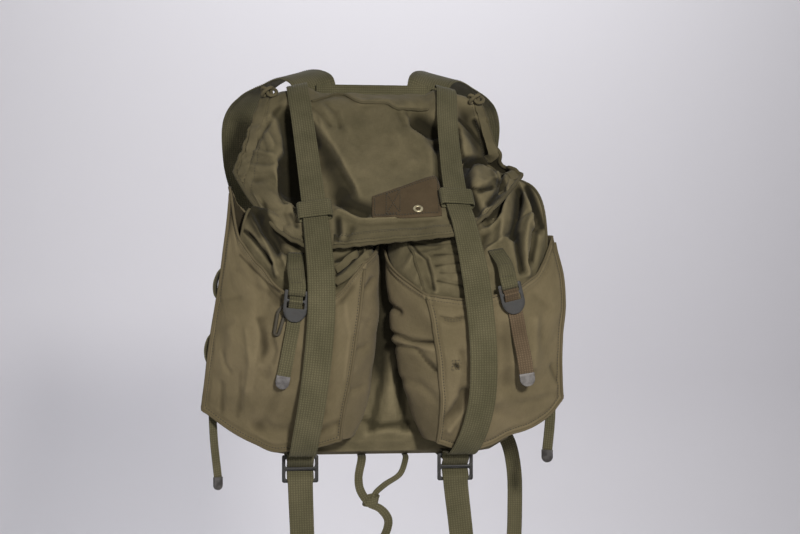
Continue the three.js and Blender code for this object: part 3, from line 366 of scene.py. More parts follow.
def webbing_look(name, colour, faded, deep):
    """Makes woven strap: ribs along it, fine picks across, paler where it rubs."""
    look, tree, shader = new_look(name, {"Roughness": 0.85, "Specular IOR Level": 0.12, "Sheen Weight": 0.03})
    flat = in_pattern(tree)
    clouds = ramp(tree, noise(tree, in_place(tree), 26, 5), 0.36, 0.66)
    strap = blend(tree, clouds, colour, faded)
    ribs = yarns(tree, flat, RIB_PITCH, "X", 0.15)
    picks = yarns(tree, flat, PICK_PITCH, "Y", 0.3)
    groove = ramp(tree, ribs, 0.04, 0.35, grey(1), grey(0))
    strap = blend(tree, times(tree, groove, 0.12), strap, deep)
    dots = times(tree, times(tree, ribs, picks), 0.5)
    speck = plus(tree, dots, times(tree, noise(tree, flat, 700, 2), 0.5))
    shade = ramp(tree, speck, 0.2, 0.7, (0.74, 0.74, 0.73), (1.22, 1.22, 1.2))
    tree.links.new(blend(tree, 1.0, strap, shade, "MULTIPLY"), shader.inputs["Base Color"])
    bumped(tree, shader, plus(tree, ribs, times(tree, picks, 0.7)), 0.0006, 0.5)
    return look


def metal_look(name, colour, rubbed, rust, metallic, roughness):
    """Makes metal, rubbed bright in patches and rusty in others."""
    look, tree, shader = new_look(name, {"Metallic": metallic})
    place = in_place(tree)
    patches = ramp(tree, noise(tree, place, 120, 5, 0.6), 0.42, 0.66)
    dark_marks = ramp(tree, noise(tree, place, 70, 6, 0.7), 0.58, 0.72)
    paint = blend(tree, patches, colour, rubbed)
    tree.links.new(blend(tree, times(tree, dark_marks, 0.6), paint, rust), shader.inputs["Base Color"])
    rough = add_node(tree, "MapRange", {"Value": patches, "To Min": roughness, "To Max": roughness + 0.18})
    tree.links.new(rough.outputs["Result"], shader.inputs["Roughness"])
    bumped(tree, shader, noise(tree, place, 260, 4), 0.0003, 0.5)
    return look


def thread_look(name, colour, second):
    """Makes plain sewing thread."""
    look, tree, shader = new_look(name, {"Roughness": 0.8})
    place = in_place(tree)
    tree.links.new(blend(tree, noise(tree, place, 200, 3), colour, second), shader.inputs["Base Color"])
    bumped(tree, shader, noise(tree, place, 1500, 2), 0.0001, 0.6)
    return look


GREEN_WEBBING = webbing_look(
    "green_webbing", colour=(0.068, 0.062, 0.034), faded=(0.094, 0.084, 0.048), deep=(0.036, 0.033, 0.018))
BROWN_WEBBING = webbing_look(
    "brown_webbing", colour=(0.072, 0.050, 0.030), faded=(0.102, 0.073, 0.045), deep=(0.045, 0.031, 0.019))
STEEL = metal_look("dark_steel", grey(0.009), (0.030, 0.029, 0.028), (0.04, 0.026, 0.017), 0.45, 0.5)
TIP_STEEL = metal_look("tip_steel", (0.075, 0.070, 0.068), (0.15, 0.143, 0.14), (0.06, 0.042, 0.03), 0.7, 0.5)
BRASS = metal_look("eyelet_brass", (0.42, 0.37, 0.24), (0.56, 0.51, 0.36), (0.16, 0.12, 0.07), 0.7, 0.45)
# Nearly black thread: the stitch rows also paint the dark shade lines along seams
THREAD = thread_look("olive_thread", (0.022, 0.018, 0.011), (0.048, 0.040, 0.025))
print("looks of straps and metal:", [look.name for look in (GREEN_WEBBING, BROWN_WEBBING, STEEL, BRASS)])

# %% [markdown]
# ## Tables and smooth lines
# Each shape is a short table of sizes in millimetres, read smoothly between its rows. X runs right, Z
# up, and the pack stands out along minus Y.

# %% Reading tables
def columns(names, text):
    """Makes a table of named columns from rows parted by lines or commas."""
    rows = [row.split() for row in text.strip().replace(",", "\n").splitlines()]
    return dict(zip(names.split(), np.array(rows, float).T))


def smooth(keys, values, at):
    """Reads a table smoothly between its rows."""
    at = np.asarray(at, float)
    if keys[-1] < keys[0]:
        keys = -keys
        at = -at
    last = len(keys) - 1
    at = np.clip(at, keys[0], keys[-1])
    row = np.clip(np.searchsorted(keys, at, side="left") - 1, 0, last - 1)
    before = np.maximum(np.arange(last + 1) - 1, 0)
    after = np.minimum(np.arange(last + 1) + 1, last)
    slope = (values[after] - values[before]) / (keys[after] - keys[before])
    span = keys[row + 1] - keys[row]
    part = (at - keys[row]) / span
    rising = values[row] + slope[row] * span * part
    falling = values[row + 1] - slope[row + 1] * span * (1 - part)
    ease = part * part * (3 - 2 * part)
    return rising * (1 - ease) + falling * ease


def mix(first, second, share):
    """Goes part of the way from one value to another."""
    return first + (second - first) * share


def step_up(value, low, high):
    """Rises smoothly from 0 at low to 1 at high."""
    part = np.clip((value - low) / (high - low), 0, 1)
    return part * part * (3 - 2 * part)


def unit(vectors):
    """Scales vectors to length one."""
    return vectors / np.maximum(np.linalg.norm(vectors, axis=-1, keepdims=True), 1e-9)


def run_length(line):
    """Gives how far along a line each of its points lies."""
    return np.concatenate([[0], np.cumsum(np.linalg.norm(np.diff(line, axis=0), axis=1))])


def smooth_line(stations, per_span):
    """Draws a smooth line through stations."""
    points = np.array(stations, float)
    ends = np.vstack([2 * points[0] - points[1], points, 2 * points[-1] - points[-2]])
    made = []
    for i in range(len(points) - 1):
        before, start, stop, after = ends[i:i + 4]
        d0 = max(np.linalg.norm(start - before) ** 0.5, 1e-3)
        d1 = max(np.linalg.norm(stop - start) ** 0.5, 1e-3)
        d2 = max(np.linalg.norm(after - stop) ** 0.5, 1e-3)
        leave = ((start - before) / d0 - (stop - before) / (d0 + d1) + (stop - start) / d1) * d1
        arrive = ((stop - start) / d1 - (after - start) / (d1 + d2) + (after - stop) / d2) * d1
        bend = -3 * start + 3 * stop - 2 * leave - arrive
        close = 2 * start - 2 * stop + leave + arrive
        for t in np.arange(per_span) / per_span:
            made.append(start + leave * t + bend * t * t + close * t ** 3)
    made.append(points[-1])
    return np.array(made)


print("smooth line points:", len(smooth_line([(0, 0, 0), (1, 0, 1), (2, 0, 0)], 8)))

# %% [markdown]
# ## Grids of cloth
# A panel is a grid of points, in rows from its top edge down. It is read by shares across and along,
# made finer, softened and measured before it becomes a mesh.

# %% Grid helpers
def sample(grid, across, along):
    """Reads a grid smoothly at shares across and along it."""
    rows, count = grid.shape[:2]
    x = np.clip(across, 0, 1) * (count - 1)
    y = np.clip(along, 0, 1) * (rows - 1)
    i = np.minimum(x.astype(int), count - 2)
    j = np.minimum(y.astype(int), rows - 2)

    def weights(t):
        return (
            -0.5 * t + t * t - 0.5 * t ** 3,
            1 - 2.5 * t * t + 1.5 * t ** 3,
            0.5 * t + 2 * t * t - 1.5 * t ** 3,
            -0.5 * t * t + 0.5 * t ** 3)

    x_weights = weights(x - i)
    y_weights = weights(y - j)
    total = 0
    for b in range(4):
        row = np.clip(j + b - 1, 0, rows - 1)
        for a in range(4):
            column = np.clip(i + a - 1, 0, count - 1)
            total = total + (y_weights[b] * x_weights[a])[..., None] * grid[row, column]
    return total


def shares(count_across, count_along):
    """Gives the shares across and along of every point of a grid."""
    return np.meshgrid(np.linspace(0, 1, count_across + 1), np.linspace(0, 1, count_along + 1))


def refine(grid, count_across, count_along):
    """Makes a finer grid on the same sheet."""
    return sample(grid, *shares(count_across, count_along))


def facing(grid, outward):
    """Gives the outward direction at each point of a grid."""
    normal = unit(np.cross(np.gradient(grid, axis=1), np.gradient(grid, axis=0)))
    if (normal @ np.array(outward, float)).sum() < 0:
        normal = -normal
    return normal


def ease_out(grid, rounds=1):
    """Softens a grid a little, but for its edges."""
    grid = grid.copy()
    for _ in range(rounds):
        middle = (grid[:-2, 1:-1] + grid[2:, 1:-1] + grid[1:-1, :-2] + grid[1:-1, 2:]) / 4
        grid[1:-1, 1:-1] = (grid[1:-1, 1:-1] + middle) / 2
    return grid


def steps_of(grid):
    """Measures the steps across and along a grid."""
    return [np.linalg.norm(np.diff(grid, axis=axis), axis=-1) for axis in (1, 0)]


def flat_size(grid):
    """Measures a grid's longest lines across and along, in mm."""
    across, along = steps_of(grid)
    return across.sum(axis=1).max(), along.sum(axis=0).max()


def from_edges(grid, edges):
    """Measures how far each point lies from the nearest named edge, in mm."""
    steps_across, steps_along = steps_of(grid)
    across = np.concatenate([np.zeros((grid.shape[0], 1)), np.cumsum(steps_across, axis=1)], axis=1)
    along = np.concatenate([np.zeros((1, grid.shape[1])), np.cumsum(steps_along, axis=0)], axis=0)
    reach = {"first": across, "last": across[:, -1:] - across, "top": along, "bottom": along[-1:] - along}
    return np.min([reach[edge] for edge in edges], axis=0)


print("a 4 by 2 grid has", shares(4, 2)[0].size, "points")

# %% [markdown]
# ## From grids to sheets
# Each vertex of a plain grid is moved to its place, and the panel's flat size scales the weave. Panels
# are welded along their seams, and a modifier gives the cloth its thickness.

# %% Sheet helpers
DUCK = 1.6
SEAM_WELD = 0.02
# How far round a point its ridges and hollows are judged: rounds of smoothing and reach in mm
FOLD_MARKS = {"fold": (18, 3.0), "pit": (150, 14.0)}
PLAIN_FOLD_AND_PIT = 0.54


def lay_grid(bm, grid, flat, outward=None):
    """Adds a grid to a mesh, with its flat pattern, facing outward."""
    weave = bm.loops.layers.uv.verify()
    rows, count = grid.shape[:2]
    made = bmesh.ops.create_grid(bm, x_segments=count - 1, y_segments=rows - 1, size=0.5)["verts"]
    faces = set()
    for vert in made:
        i = round((vert.co.x + 0.5) * (count - 1))
        j = round((vert.co.y + 0.5) * (rows - 1))
        for loop in vert.link_loops:
            loop[weave].uv = flat[j, i]
            faces.add(loop.face)
        vert.co = Vector(grid[j, i] * MM)
    if outward is not None:
        total = Vector()
        for face in faces:
            face.normal_update()
            total += face.normal * face.calc_area()
        if total.dot(Vector(outward)) < 0:
            bmesh.ops.reverse_faces(bm, faces=list(faces))


def plain_flat(grid):
    """Gives a grid's flat pattern, in metres."""
    across, along = shares(grid.shape[1] - 1, grid.shape[0] - 1)
    width, length = flat_size(grid)
    return np.stack([across * width * MM, along * length * MM], axis=-1)


def sew(name, panels):
    """Welds panels, each a grid and the way it faces, where they meet."""
    bm = bmesh.new()
    for grid, outward in panels:
        lay_grid(bm, grid, plain_flat(grid), outward)
    bmesh.ops.remove_doubles(bm, verts=bm.verts[:], dist=SEAM_WELD * MM)
    return to_object(bm, name)


def read(items, name, width, kind=float):
    """Reads a list of values from every element of a mesh."""
    values = np.empty(len(items) * width, kind)
    items.foreach_get(name, values)
    return values.reshape(-1, width)


def mark_folds(mesh, title, rounds, reach):
    """Stores how far each vertex stands above (1) or below (0) the cloth round it."""
    count = len(mesh.vertices)
    place = read(mesh.vertices, "co", 3)
    normal = read(mesh.vertices, "normal", 3)
    edges = read(mesh.edges, "vertices", 2, int)
    number = np.maximum(np.bincount(edges.ravel(), minlength=count), 1)
    around = place.copy()
    for _ in range(rounds):
        total = np.zeros_like(place)
        for axis in range(3):
            total[:, axis] += np.bincount(edges[:, 0], around[edges[:, 1], axis], count)
            total[:, axis] += np.bincount(edges[:, 1], around[edges[:, 0], axis], count)
        around = total / number[:, None]
    height = ((place - around) * normal).sum(axis=1) / (reach * MM)
    stored = mesh.attributes.new(title, "FLOAT", "POINT")
    stored.data.foreach_set("value", np.clip(0.5 + 0.5 * height, 0, 1))


def sheet_object(name, panels, wall=DUCK):
    """Sews panels into one sheet with a thickness and marks its folds."""
    item = sew(name, panels)
    for title, (rounds, reach) in FOLD_MARKS.items():
        mark_folds(item.data, title, rounds, reach)
    solid = item.modifiers.new("wall", "SOLIDIFY")
    solid.thickness = wall * MM
    solid.offset = -1
    solid.use_even_offset = False
    return item


def keep(item, look, slot, *nodes, fold_and_pit=PLAIN_FOLD_AND_PIT):
    """Gives a piece its look and its fold and pit values, hangs it on the pack and hides the measured parts
    it stands for.
    """
    item.data.materials.clear()
    item.data.materials.append(look)
    for title in FOLD_MARKS:
        if title not in item.data.attributes:
            plain = item.data.attributes.new(title, "FLOAT", "POINT")
            plain.data.foreach_set("value", [fold_and_pit] * len(item.data.vertices))
    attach(item, "root")
    if nodes:
        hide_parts(*nodes)
    return item


print("sheet helpers ready; cloth is", DUCK, "mm thick")

# %% [markdown]
# ## Creases read from the picture
# A crease is a bent line of pixels that presses the cloth in, or lifts it if its depth is negative. A tuck is
# a line where the cloth steps up, and a darkening line paints stains and shade onto the cloth. A row holds
# the reach, the depth or strength, and the pixels.

# %% Crease helpers
TUCK_EDGE = 1.3
TUCK_END = 0.2
EDGE_REACH = 11
FINER = (1, 1.6, 2.3)
PRESS_SOFTEN = 2


def lines_of(text):
    """Reads rows of a reach, a depth and the pixels of a bent line."""
    rows = []
    for row in text.strip().splitlines():
        reach, depth, *pixels = row.split()
        path = [tuple(int(value) for value in pixel.split(",")) for pixel in pixels]
        rows.append((float(reach), float(depth), path))
    return rows


def from_line(across, down, path):
    """Gives pixels' distance from a bent line, their side and their place along it."""
    nearest = np.full(across.shape, np.inf)
    side = np.zeros(across.shape)
    place = np.zeros(across.shape)
    lengths = [math.dist(first, second) for first, second in zip(path, path[1:])]
    gone = 0
    for (x0, y0), (x1, y1), length in zip(path, path[1:], lengths):
        along_x = (x1 - x0) / length
        along_y = (y1 - y0) / length
        run = np.clip((across - x0) * along_x + (down - y0) * along_y, 0, length)
        off_x = across - x0 - run * along_x
        off_y = down - y0 - run * along_y
        distance = np.hypot(off_x, off_y)
        closer = distance < nearest
        nearest = np.where(closer, distance, nearest)
        side = np.where(closer, along_x * off_y - along_y * off_x, side)
        place = np.where(closer, (gone + run) / sum(lengths), place)
        gone += length
    return nearest, side, place


def near_lines(across, down, lines):
    """Adds up soft lines of a reach and a strength."""
    total = np.zeros(across.shape)
    for reach, strength, path in lines:
        total += strength * np.exp(-(from_line(across, down, path)[0] / reach) ** 2)
    return total


def crease_height(across, down, creases, tucks=()):
    """Adds up how far creases and tucks lift the cloth, in mm."""
    height = -near_lines(across, down, creases)
    for reach, rise, path in tucks:
        distance, side, place = from_line(across, down, path)
        ends = step_up(np.minimum(place, 1 - place), 0, TUCK_END)
        height += rise / 2 * np.tanh(side / TUCK_EDGE) * np.exp(-distance / reach) * ends
    return height


def rumple(grid, seed, cells, depth):
    """Gives a soft random unevenness, in cells across and along a grid."""
    random = np.random.default_rng(seed)
    rows, count = grid.shape[:2]
    total = 0
    for finer in FINER:
        size = [max(3, round(finer * number)) for number in cells]
        heights = random.normal(0, depth / finer, (size[1] + 1, size[0] + 1, 1))
        total = total + refine(heights, count - 1, rows - 1)[..., 0]
    return total


def press(grid, outward, creases, tucks, limit, edges, uneven, at_edge):
    """Presses creases into a grid along its own face, weaker at some edges."""
    height = crease_height(*seen(grid), creases, tucks) + uneven
    height = height * mix(at_edge, 1, step_up(from_edges(grid, edges), 0, EDGE_REACH))
    return ease_out(grid + np.minimum(height, limit)[..., None] * facing(grid, outward), PRESS_SOFTEN)


def mark_darkening(item, found):
    """Darkens a piece's pit value by a function of its points in mm, for stains and painted shade."""
    place = read(item.data.vertices, "co", 3)
    held = item.data.attributes["pit"].data
    number = read(held, "value", 1)[:, 0]
    held.foreach_set("value", np.clip(number - found(place / MM), 0, 1))


def darkening_from_lines(dark_marks):
    """Says how much each point is darkened, from a table of lines of stains and painted shade."""
    return lambda place: near_lines(*seen(place), dark_marks)


print("a crease row reads as", lines_of("5 20 288,114 292,150")[0])

# %% [markdown]
# ## Letting the cloth settle
# Each soft piece goes through the cloth solver with its seams held and a little spare cloth, so it
# buckles. Only the moved points are kept, and the move is capped so that seams still meet.

# %% Cloth solver
SETTLE_FRAMES = 14
SETTLE_SOFTEN = 4
CLOTH = {
    "quality": 6, "mass": 0.25, "air_damping": 4, "pin_stiffness": 1, "vertex_group_mass": "held",
    "tension_stiffness": 12.0, "compression_stiffness": 12.0, "shear_stiffness": 6.0,
}
CLOTH_GRAVITY = 0.3


def settle(grids, held, spare, cap, bend):
    """Runs panels through the cloth solver; held says how firmly points are pinned."""
    item = sew("settling", [(grid, None) for grid in grids])
    before = read(item.data.vertices, "co", 3)
    tree = KDTree(len(before))
    for index, place in enumerate(before):
        tree.insert(place, index)
    tree.balance()
    pinned = item.vertex_groups.new(name="held")
    lookups = []
    for grid, firm in zip(grids, held):
        found = np.array([tree.find(point)[1] for point in grid.reshape(-1, 3) * MM])
        lookups.append(found)
        for index, share in zip(found, firm.ravel()):
            pinned.add([int(index)], float(share), "REPLACE")
    solver = item.modifiers.new("solver", "CLOTH")
    for key, value in CLOTH.items():
        setattr(solver.settings, key, value)
    solver.settings.bending_stiffness = bend
    solver.settings.shrink_min = -spare
    solver.settings.effector_weights.gravity = CLOTH_GRAVITY
    solver.collision_settings.use_collision = False
    solver.collision_settings.use_self_collision = False
    solver.point_cache.frame_start = 1
    solver.point_cache.frame_end = SETTLE_FRAMES
    for frame_number in range(1, SETTLE_FRAMES + 1):
        bpy.context.scene.frame_set(frame_number)
    shown = item.evaluated_get(bpy.context.evaluated_depsgraph_get())
    move = (read(shown.data.vertices, "co", 3) - before) / MM
    mesh = item.data
    bpy.data.objects.remove(item)
    bpy.data.meshes.remove(mesh)
    bpy.context.scene.frame_set(1)
    length = np.linalg.norm(move, axis=1, keepdims=True)
    move = move * (cap * np.tanh(length / cap) / np.maximum(length, 1e-9))
    furthest = np.linalg.norm(move, axis=1).max()
    print("settled", len(before), "points, moved up to", round(float(furthest), 1), "mm")
    moves = [move[found].reshape(grid.shape) for grid, found in zip(grids, lookups)]
    return [grid + ease_out(moved, SETTLE_SOFTEN) for grid, moved in zip(grids, moves)]


# %% [markdown]
# ## Webbing and cord
# A strap is a thin rounded section carried along a smooth line, with the flat pattern along it. A cord
# is the same with a round section. Some straps ripple a little.

# %% Strap helpers
WEBBING = 2.0
WIDE_WEBBING = 31.0
NARROW_WEBBING = 19.0
SECTION_POINTS = 24
SECTION_ROUND = 2.4
WAVE_PITCHES = (9, 17, 31)


def rounded(values, power):
    """Draws a circle's coordinate out towards a square."""
    shape = np.sign(values) * np.abs(values) ** (2 / power)
    shape[-1] = shape[0]
    return shape


def band(name, stations, width, thick, across, per_span, flatness, wave=0.0, seed=1):
    """Carries a flat section along stations; width and across may be lists."""
    line = smooth_line(stations, per_span)
    count = len(stations)
    place = np.linspace(0, count - 1, len(line))
    widths = np.interp(place, np.arange(count), np.broadcast_to(np.asarray(width, float), (count,)))
    wanted = np.broadcast_to(np.array(across, float), (count, 3))
    wanted = np.stack([np.interp(place, np.arange(count), wanted[:, axis]) for axis in range(3)], axis=-1)
    along = unit(np.gradient(line, axis=0))
    side = unit(wanted - (wanted * along).sum(axis=1, keepdims=True) * along)
    face = np.cross(along, side)
    turn = np.linspace(0, 2 * math.pi, SECTION_POINTS + 1)
    reach = rounded(np.cos(turn), flatness)
    lift = rounded(np.sin(turn), SECTION_ROUND)
    gone = run_length(line)
    if wave:
        sway = np.random.default_rng(seed).uniform(0, 6.28, 3)
        ripple = sum(np.sin(gone / pitch + shift) for pitch, shift in zip(WAVE_PITCHES, sway)) * wave / 3
        ends = np.clip(np.minimum(place, count - 1 - place), 0, 1)
        line = line + (ripple * ends)[:, None] * face
    grid = (
        line[:, None, :]
        + (widths / 2)[:, None, None] * reach[None, :, None] * side[:, None, :]
        + thick / 2 * lift[None, :, None] * face[:, None, :])
    flat = np.stack([
        (widths / 2)[:, None] * reach[None, :] * MM,
        np.broadcast_to(gone[:, None] * MM, (len(line), SECTION_POINTS + 1))], axis=-1)
    bm = bmesh.new()
    lay_grid(bm, grid, flat)
    bmesh.ops.remove_doubles(bm, verts=bm.verts[:], dist=SEAM_WELD * MM)
    bmesh.ops.holes_fill(bm, edges=[edge for edge in bm.edges if edge.is_boundary], sides=0)
    bmesh.ops.recalc_face_normals(bm, faces=bm.faces[:])
    return to_object(bm, name), line, side, face


def strap(name, node, stations, width, thick=WEBBING, across=(1, 0, 0), per_span=8, flatness=8.0, wave=0.0,
          seed=1, look=GREEN_WEBBING, slot="green_webbing"):
    """Weaves a strap that may stand for a solid; gives its line, sides and faces."""
    item, line, side, face = band(name, stations, width, thick, across, per_span, flatness, wave, seed)
    keep(item, look, slot, *([node] if node else []))
    print(name, "mm:", round(float(run_length(line)[-1])))
    return line, side, face


def cord(name, stations, thick, per_span):
    """Carries a round section along stations."""
    return band(name, stations, thick, thick, (0.3, 0.2, 1), per_span, SECTION_ROUND)[0]


print("strap helpers ready; webbing is", WEBBING, "mm thick")

# %% [markdown]
# ## Stitches
# A machine seam is a row of short domed stitches with small gaps. Each is a stretched ball just proud of
# the cloth.

# %% Stitches
STITCH_LENGTH = 2.3
STITCH_GAP = 1.1
STITCH_THICK = 0.7
STITCH_LIFT = 0.15
FIRST_STITCH = 0.5
SHORTEST_STITCH = 0.5


def stitches(name, rows, slot, thick=STITCH_THICK):
    """Sews rows of stitches; a row is a line of points and their face."""
    bm = bmesh.new()
    bm.loops.layers.uv.new("weave")
    number = 0
    for line, face in rows:
        gone = run_length(line)
        for start in np.arange(FIRST_STITCH, gone[-1] - STITCH_LENGTH, STITCH_LENGTH + STITCH_GAP):
            ends = np.array([
                [np.interp(start + part, gone, line[:, axis]) for axis in range(3)]
                for part in (0, STITCH_LENGTH)])
            up = np.array([np.interp(start, gone, face[:, axis]) for axis in range(3)])
            run = Vector(ends[1] - ends[0])
            if run.length < SHORTEST_STITCH:
                continue
            turn = run.to_track_quat("Z", "Y").to_matrix().to_4x4()
            shape = Matrix.Diagonal((thick / 2, thick / 2, run.length / 2, 1))
            spot = Matrix.Translation(Vector((ends.mean(axis=0) + STITCH_LIFT * up) * MM))
            bmesh.ops.create_icosphere(
                bm, subdivisions=1, radius=1, matrix=spot @ Matrix.Scale(MM, 4) @ turn @ shape)
            number += 1
    print(name, "has", number, "stitches")
    keep(to_object(bm, name), THREAD, slot)


# %% [markdown]
# ## The sack
# The sack is one tall bag, widest half-way up and drawn in to an open mouth under the flap. Each row of
# the table is one ring round it.

# %% Sack shape
SACK_FRONT = 116.0
SACK_BOTTOM = -441.0
SACK = columns("z half_width front rear radius tilt", """
    -441 0 58 58 0 0
    -441 112 98 16 12 0
    -436 132 111 3 14 0
    -423 152 116 0 12 0
    -398 168 116 0 12 0
    -310 180 116 0 12 0
    -220 180 116 0 12 0
    -162 166 116 0 12 0
    -112 112 40 0 12 0
    -62 92 20 0 8 0.25
    -8 90 16 0 7 0.9
""")
# Steps along the front, the right side, the back and the left side, and round each corner
STRAIGHT_STEPS = [30, 14, 30, 14]
CORNER_STEPS = 6


def sack_ring(row):
    """Goes once round the sack at a row of its table."""
    size = {name: np.interp(row, np.arange(len(SACK["z"])), SACK[name]) for name in SACK}
    radius = size["radius"]
    wide = max(size["half_width"] - radius, 0)
    inset = min(radius, (size["front"] - size["rear"]) / 2)
    front = -size["front"] + inset
    rear = -size["rear"] - inset
    corners = [(wide, front, -90), (wide, rear, 0), (-wide, rear, 90), (-wide, front, 180)]
    points = []
    for index, (x, y, start) in enumerate(corners):
        last_x, last_y, _ = corners[index - 1]
        out_x = radius * math.cos(math.radians(start))
        out_y = radius * math.sin(math.radians(start))
        for k in range(STRAIGHT_STEPS[index]):
            part = k / STRAIGHT_STEPS[index]
            points.append((mix(last_x + out_x, x + out_x, part), mix(last_y + out_y, y + out_y, part)))
        for k in range(CORNER_STEPS):
            turn = math.radians(start + 90 * k / CORNER_STEPS)
            points.append((x + radius * math.cos(turn), y + radius * math.sin(turn)))
    points.append(points[0])
    ring = np.array(points)
    return np.column_stack([ring, size["z"] + size["tilt"] * ring[:, 1]])


LOW_ROWS = 24
SIDE_ROWS = 44
NECK_ROWS = 32
MOUTH_ROWS = 12
SIDE_FIRM = 0.35
FRONT_FIRM = 0.8
SACK_POINTS = (224, 150)
sack_rows = np.concatenate([
    np.linspace(0, 4, LOW_ROWS, endpoint=False),
    np.linspace(4, 7, SIDE_ROWS, endpoint=False),
    np.linspace(7, 10, NECK_ROWS)])
sack_grid = np.array([sack_ring(row) for row in sack_rows])
firm = np.ones(sack_grid.shape[:2])
firm[LOW_ROWS:-MOUTH_ROWS] = SIDE_FIRM
front_columns = slice(0, STRAIGHT_STEPS[0] + 1)
firm[:, front_columns] = np.maximum(firm[:, front_columns], FRONT_FIRM)
sack_grid = settle([sack_grid], [firm], spare=0.02, cap=2.5, bend=0.6)[0]
sack_grid[:, -1] = sack_grid[:, 0]
sack_grid = refine(sack_grid, *SACK_POINTS)
print("sack rings:", len(sack_rows), "of", len(sack_ring(0)), "points")

# %% [markdown]
# ## Wear and painted shade on the sack
# The strip between the pockets is creased along given lines, and the slack sides and back at random. Cloth
# that is always covered gets painted shade.

# %% Sack folds
SACK_CREASES = lines_of("""
    4 5 378,330 382,380 372,430
    4 -4 390,350 392,410
    4 5 399,370 405,428
    3 4 360,418 382,426 408,422
    3 -3 366,434 388,430 412,434
""")
# Strength of the painted shade where the sack is always covered
COVERED_SHADE = 0.5


def under_flap(place):
    """Says where the sack is always covered, and so gets painted shade."""
    x, y, z = place.T
    front = step_up(z, -390, -310) * step_up(-y, 100, 112)
    neck = step_up(z, -180, -160) * step_up(-y, 12, 30) * (1 - step_up(np.abs(x), 120, 140))
    return COVERED_SHADE * np.maximum(front, neck)


strip = step_up(-sack_grid[..., 1], SACK_FRONT - 12, SACK_FRONT - 4)
creased = crease_height(*seen(sack_grid), SACK_CREASES)
creased = creased + rumple(sack_grid, seed=5, cells=(60, 22), depth=0.5)
sack_grid[..., 1] -= strip * creased
round_it = unit((sack_grid - np.array([0, -SACK_FRONT / 2, 0])) * np.array([1, 1, 0]))
height = sack_grid[..., 2]
slack = (1 - strip) * step_up(height, -425, -380) * (1 - step_up(height, -200, -160))
slack = slack * step_up(SACK_FRONT - 14 + sack_grid[..., 1], 0, 30)
uneven = slack * rumple(sack_grid, seed=6, cells=(30, 9), depth=1.2)
sack_grid = sack_grid + uneven[..., None] * round_it
sack_grid[:, -1] = sack_grid[:, 0]
sack = sheet_object("sack_cloth", [(sack_grid, None)])
bm = bmesh.new()
bm.from_mesh(sack.data)
bmesh.ops.recalc_face_normals(bm, faces=bm.faces[:])
bm.to_mesh(sack.data)
bm.free()
mark_darkening(sack, under_flap)
keep(sack, OLIVE, "olive_duck", "sack")
print("sack mesh:", len(sack.data.vertices), "points")

# %% [markdown]
# ## The flap
# The flap is sewn to the back of the mouth and falls forward over it. The closing straps draw its middle
# tight, and slack gathers beside them in deep folds.

# %% Flap shape
FLAP = columns("v middle_y middle_z left_x right_x side_y side_z", """
    0.00 -0.3 5 136 134 -9 -10
    0.12 -26 1 142 137 -22 -23
    0.30 -60 -40 150 142 -34 -46
    0.50 -96 -88 159 149 -46 -71
    0.75 -138 -142 167 164 -58 -93
    1.00 -177 -190 172 177 -68 -107
""")
FLAP_FLAT = 0.4
FLAP_WRAP = {"left": 2.1, "right": 1.6}
FLAP_LEAN = 0.1
FLAP_OUT = np.array([0, -0.75, 0.66])
FOLD_NAMES = "from_x from_z to_x to_z reach depth"
FLAP_FOLDS = columns(FOLD_NAMES, """
    -113 -30 -104 -120 11 16
    -62 -52 -44 -120 14 2
    -128 -96 -140 -60 12 -5
    56 -26 70 -60 12 10
    112 -26 128 -74 10 11
    110 -88 150 -92 11 13
    104 -125 132 -132 9 -6
""")
FLAP_UNDER_YOKE = 11.0
FLAP_COARSE = (44, 36)


def flap_base(side, v):
    """Gives the unfolded flap; side runs from -1 to 1, v from the seam to the hem."""
    side = np.asarray(side, float)
    row = {name: smooth(FLAP["v"], FLAP[name], v) for name in FLAP}
    power = np.where(side < 0, FLAP_WRAP["left"], FLAP_WRAP["right"])
    wrap = (np.maximum(np.abs(side) - FLAP_FLAT, 0) / (1 - FLAP_FLAT)) ** power
    x = side * np.where(side < 0, row["left_x"], row["right_x"])
    y = mix(row["middle_y"], row["side_y"], wrap)
    z = mix(row["middle_z"], row["side_z"], wrap) + FLAP_LEAN * x * v * (1 - wrap)
    return np.stack([x, y, z], axis=-1)


def fold_depth(folds, x, z):
    """Adds up the depth of straight folds, seen from the front."""
    total = np.zeros(np.shape(x))
    for from_x, from_z, to_x, to_z, reach, depth in zip(*(folds[name] for name in FOLD_NAMES.split())):
        run_x = to_x - from_x
        run_z = to_z - from_z
        part = np.clip(((x - from_x) * run_x + (z - from_z) * run_z) / (run_x ** 2 + run_z ** 2), 0, 1)
        distance = np.hypot(x - from_x - part * run_x, z - from_z - part * run_z)
        total = total + depth * np.exp(-(distance / reach) ** 2)
    return total


across, along = shares(*FLAP_COARSE)
side = 2 * across - 1
flap_grid = flap_base(side, along)
below_yoke = (1 - step_up(along, 0.06, 0.3)) * (1 - step_up(np.abs(side), 0.44, 0.62))
flap_grid[..., 2] -= FLAP_UNDER_YOKE * below_yoke
ends = step_up(along, 0.02, 0.16) * (1 - step_up(along, 0.8, 1))
depth = ends * fold_depth(FLAP_FOLDS, flap_grid[..., 0], flap_grid[..., 2])
flap_grid = flap_grid - depth[..., None] * FLAP_OUT
firm = 0.25 + 0.6 * (np.abs(side) < 0.5)
firm = np.maximum(firm, 1 - step_up(along, 0.0, 0.06))
firm = np.maximum(firm, 0.7 * step_up(along, 0.94, 1))
flap_grid = settle([flap_grid], [firm], spare=0.03, cap=4.0, bend=3.0)[0]
print("flap settled; flat size, mm:", [round(float(value)) for value in flat_size(flap_grid)])
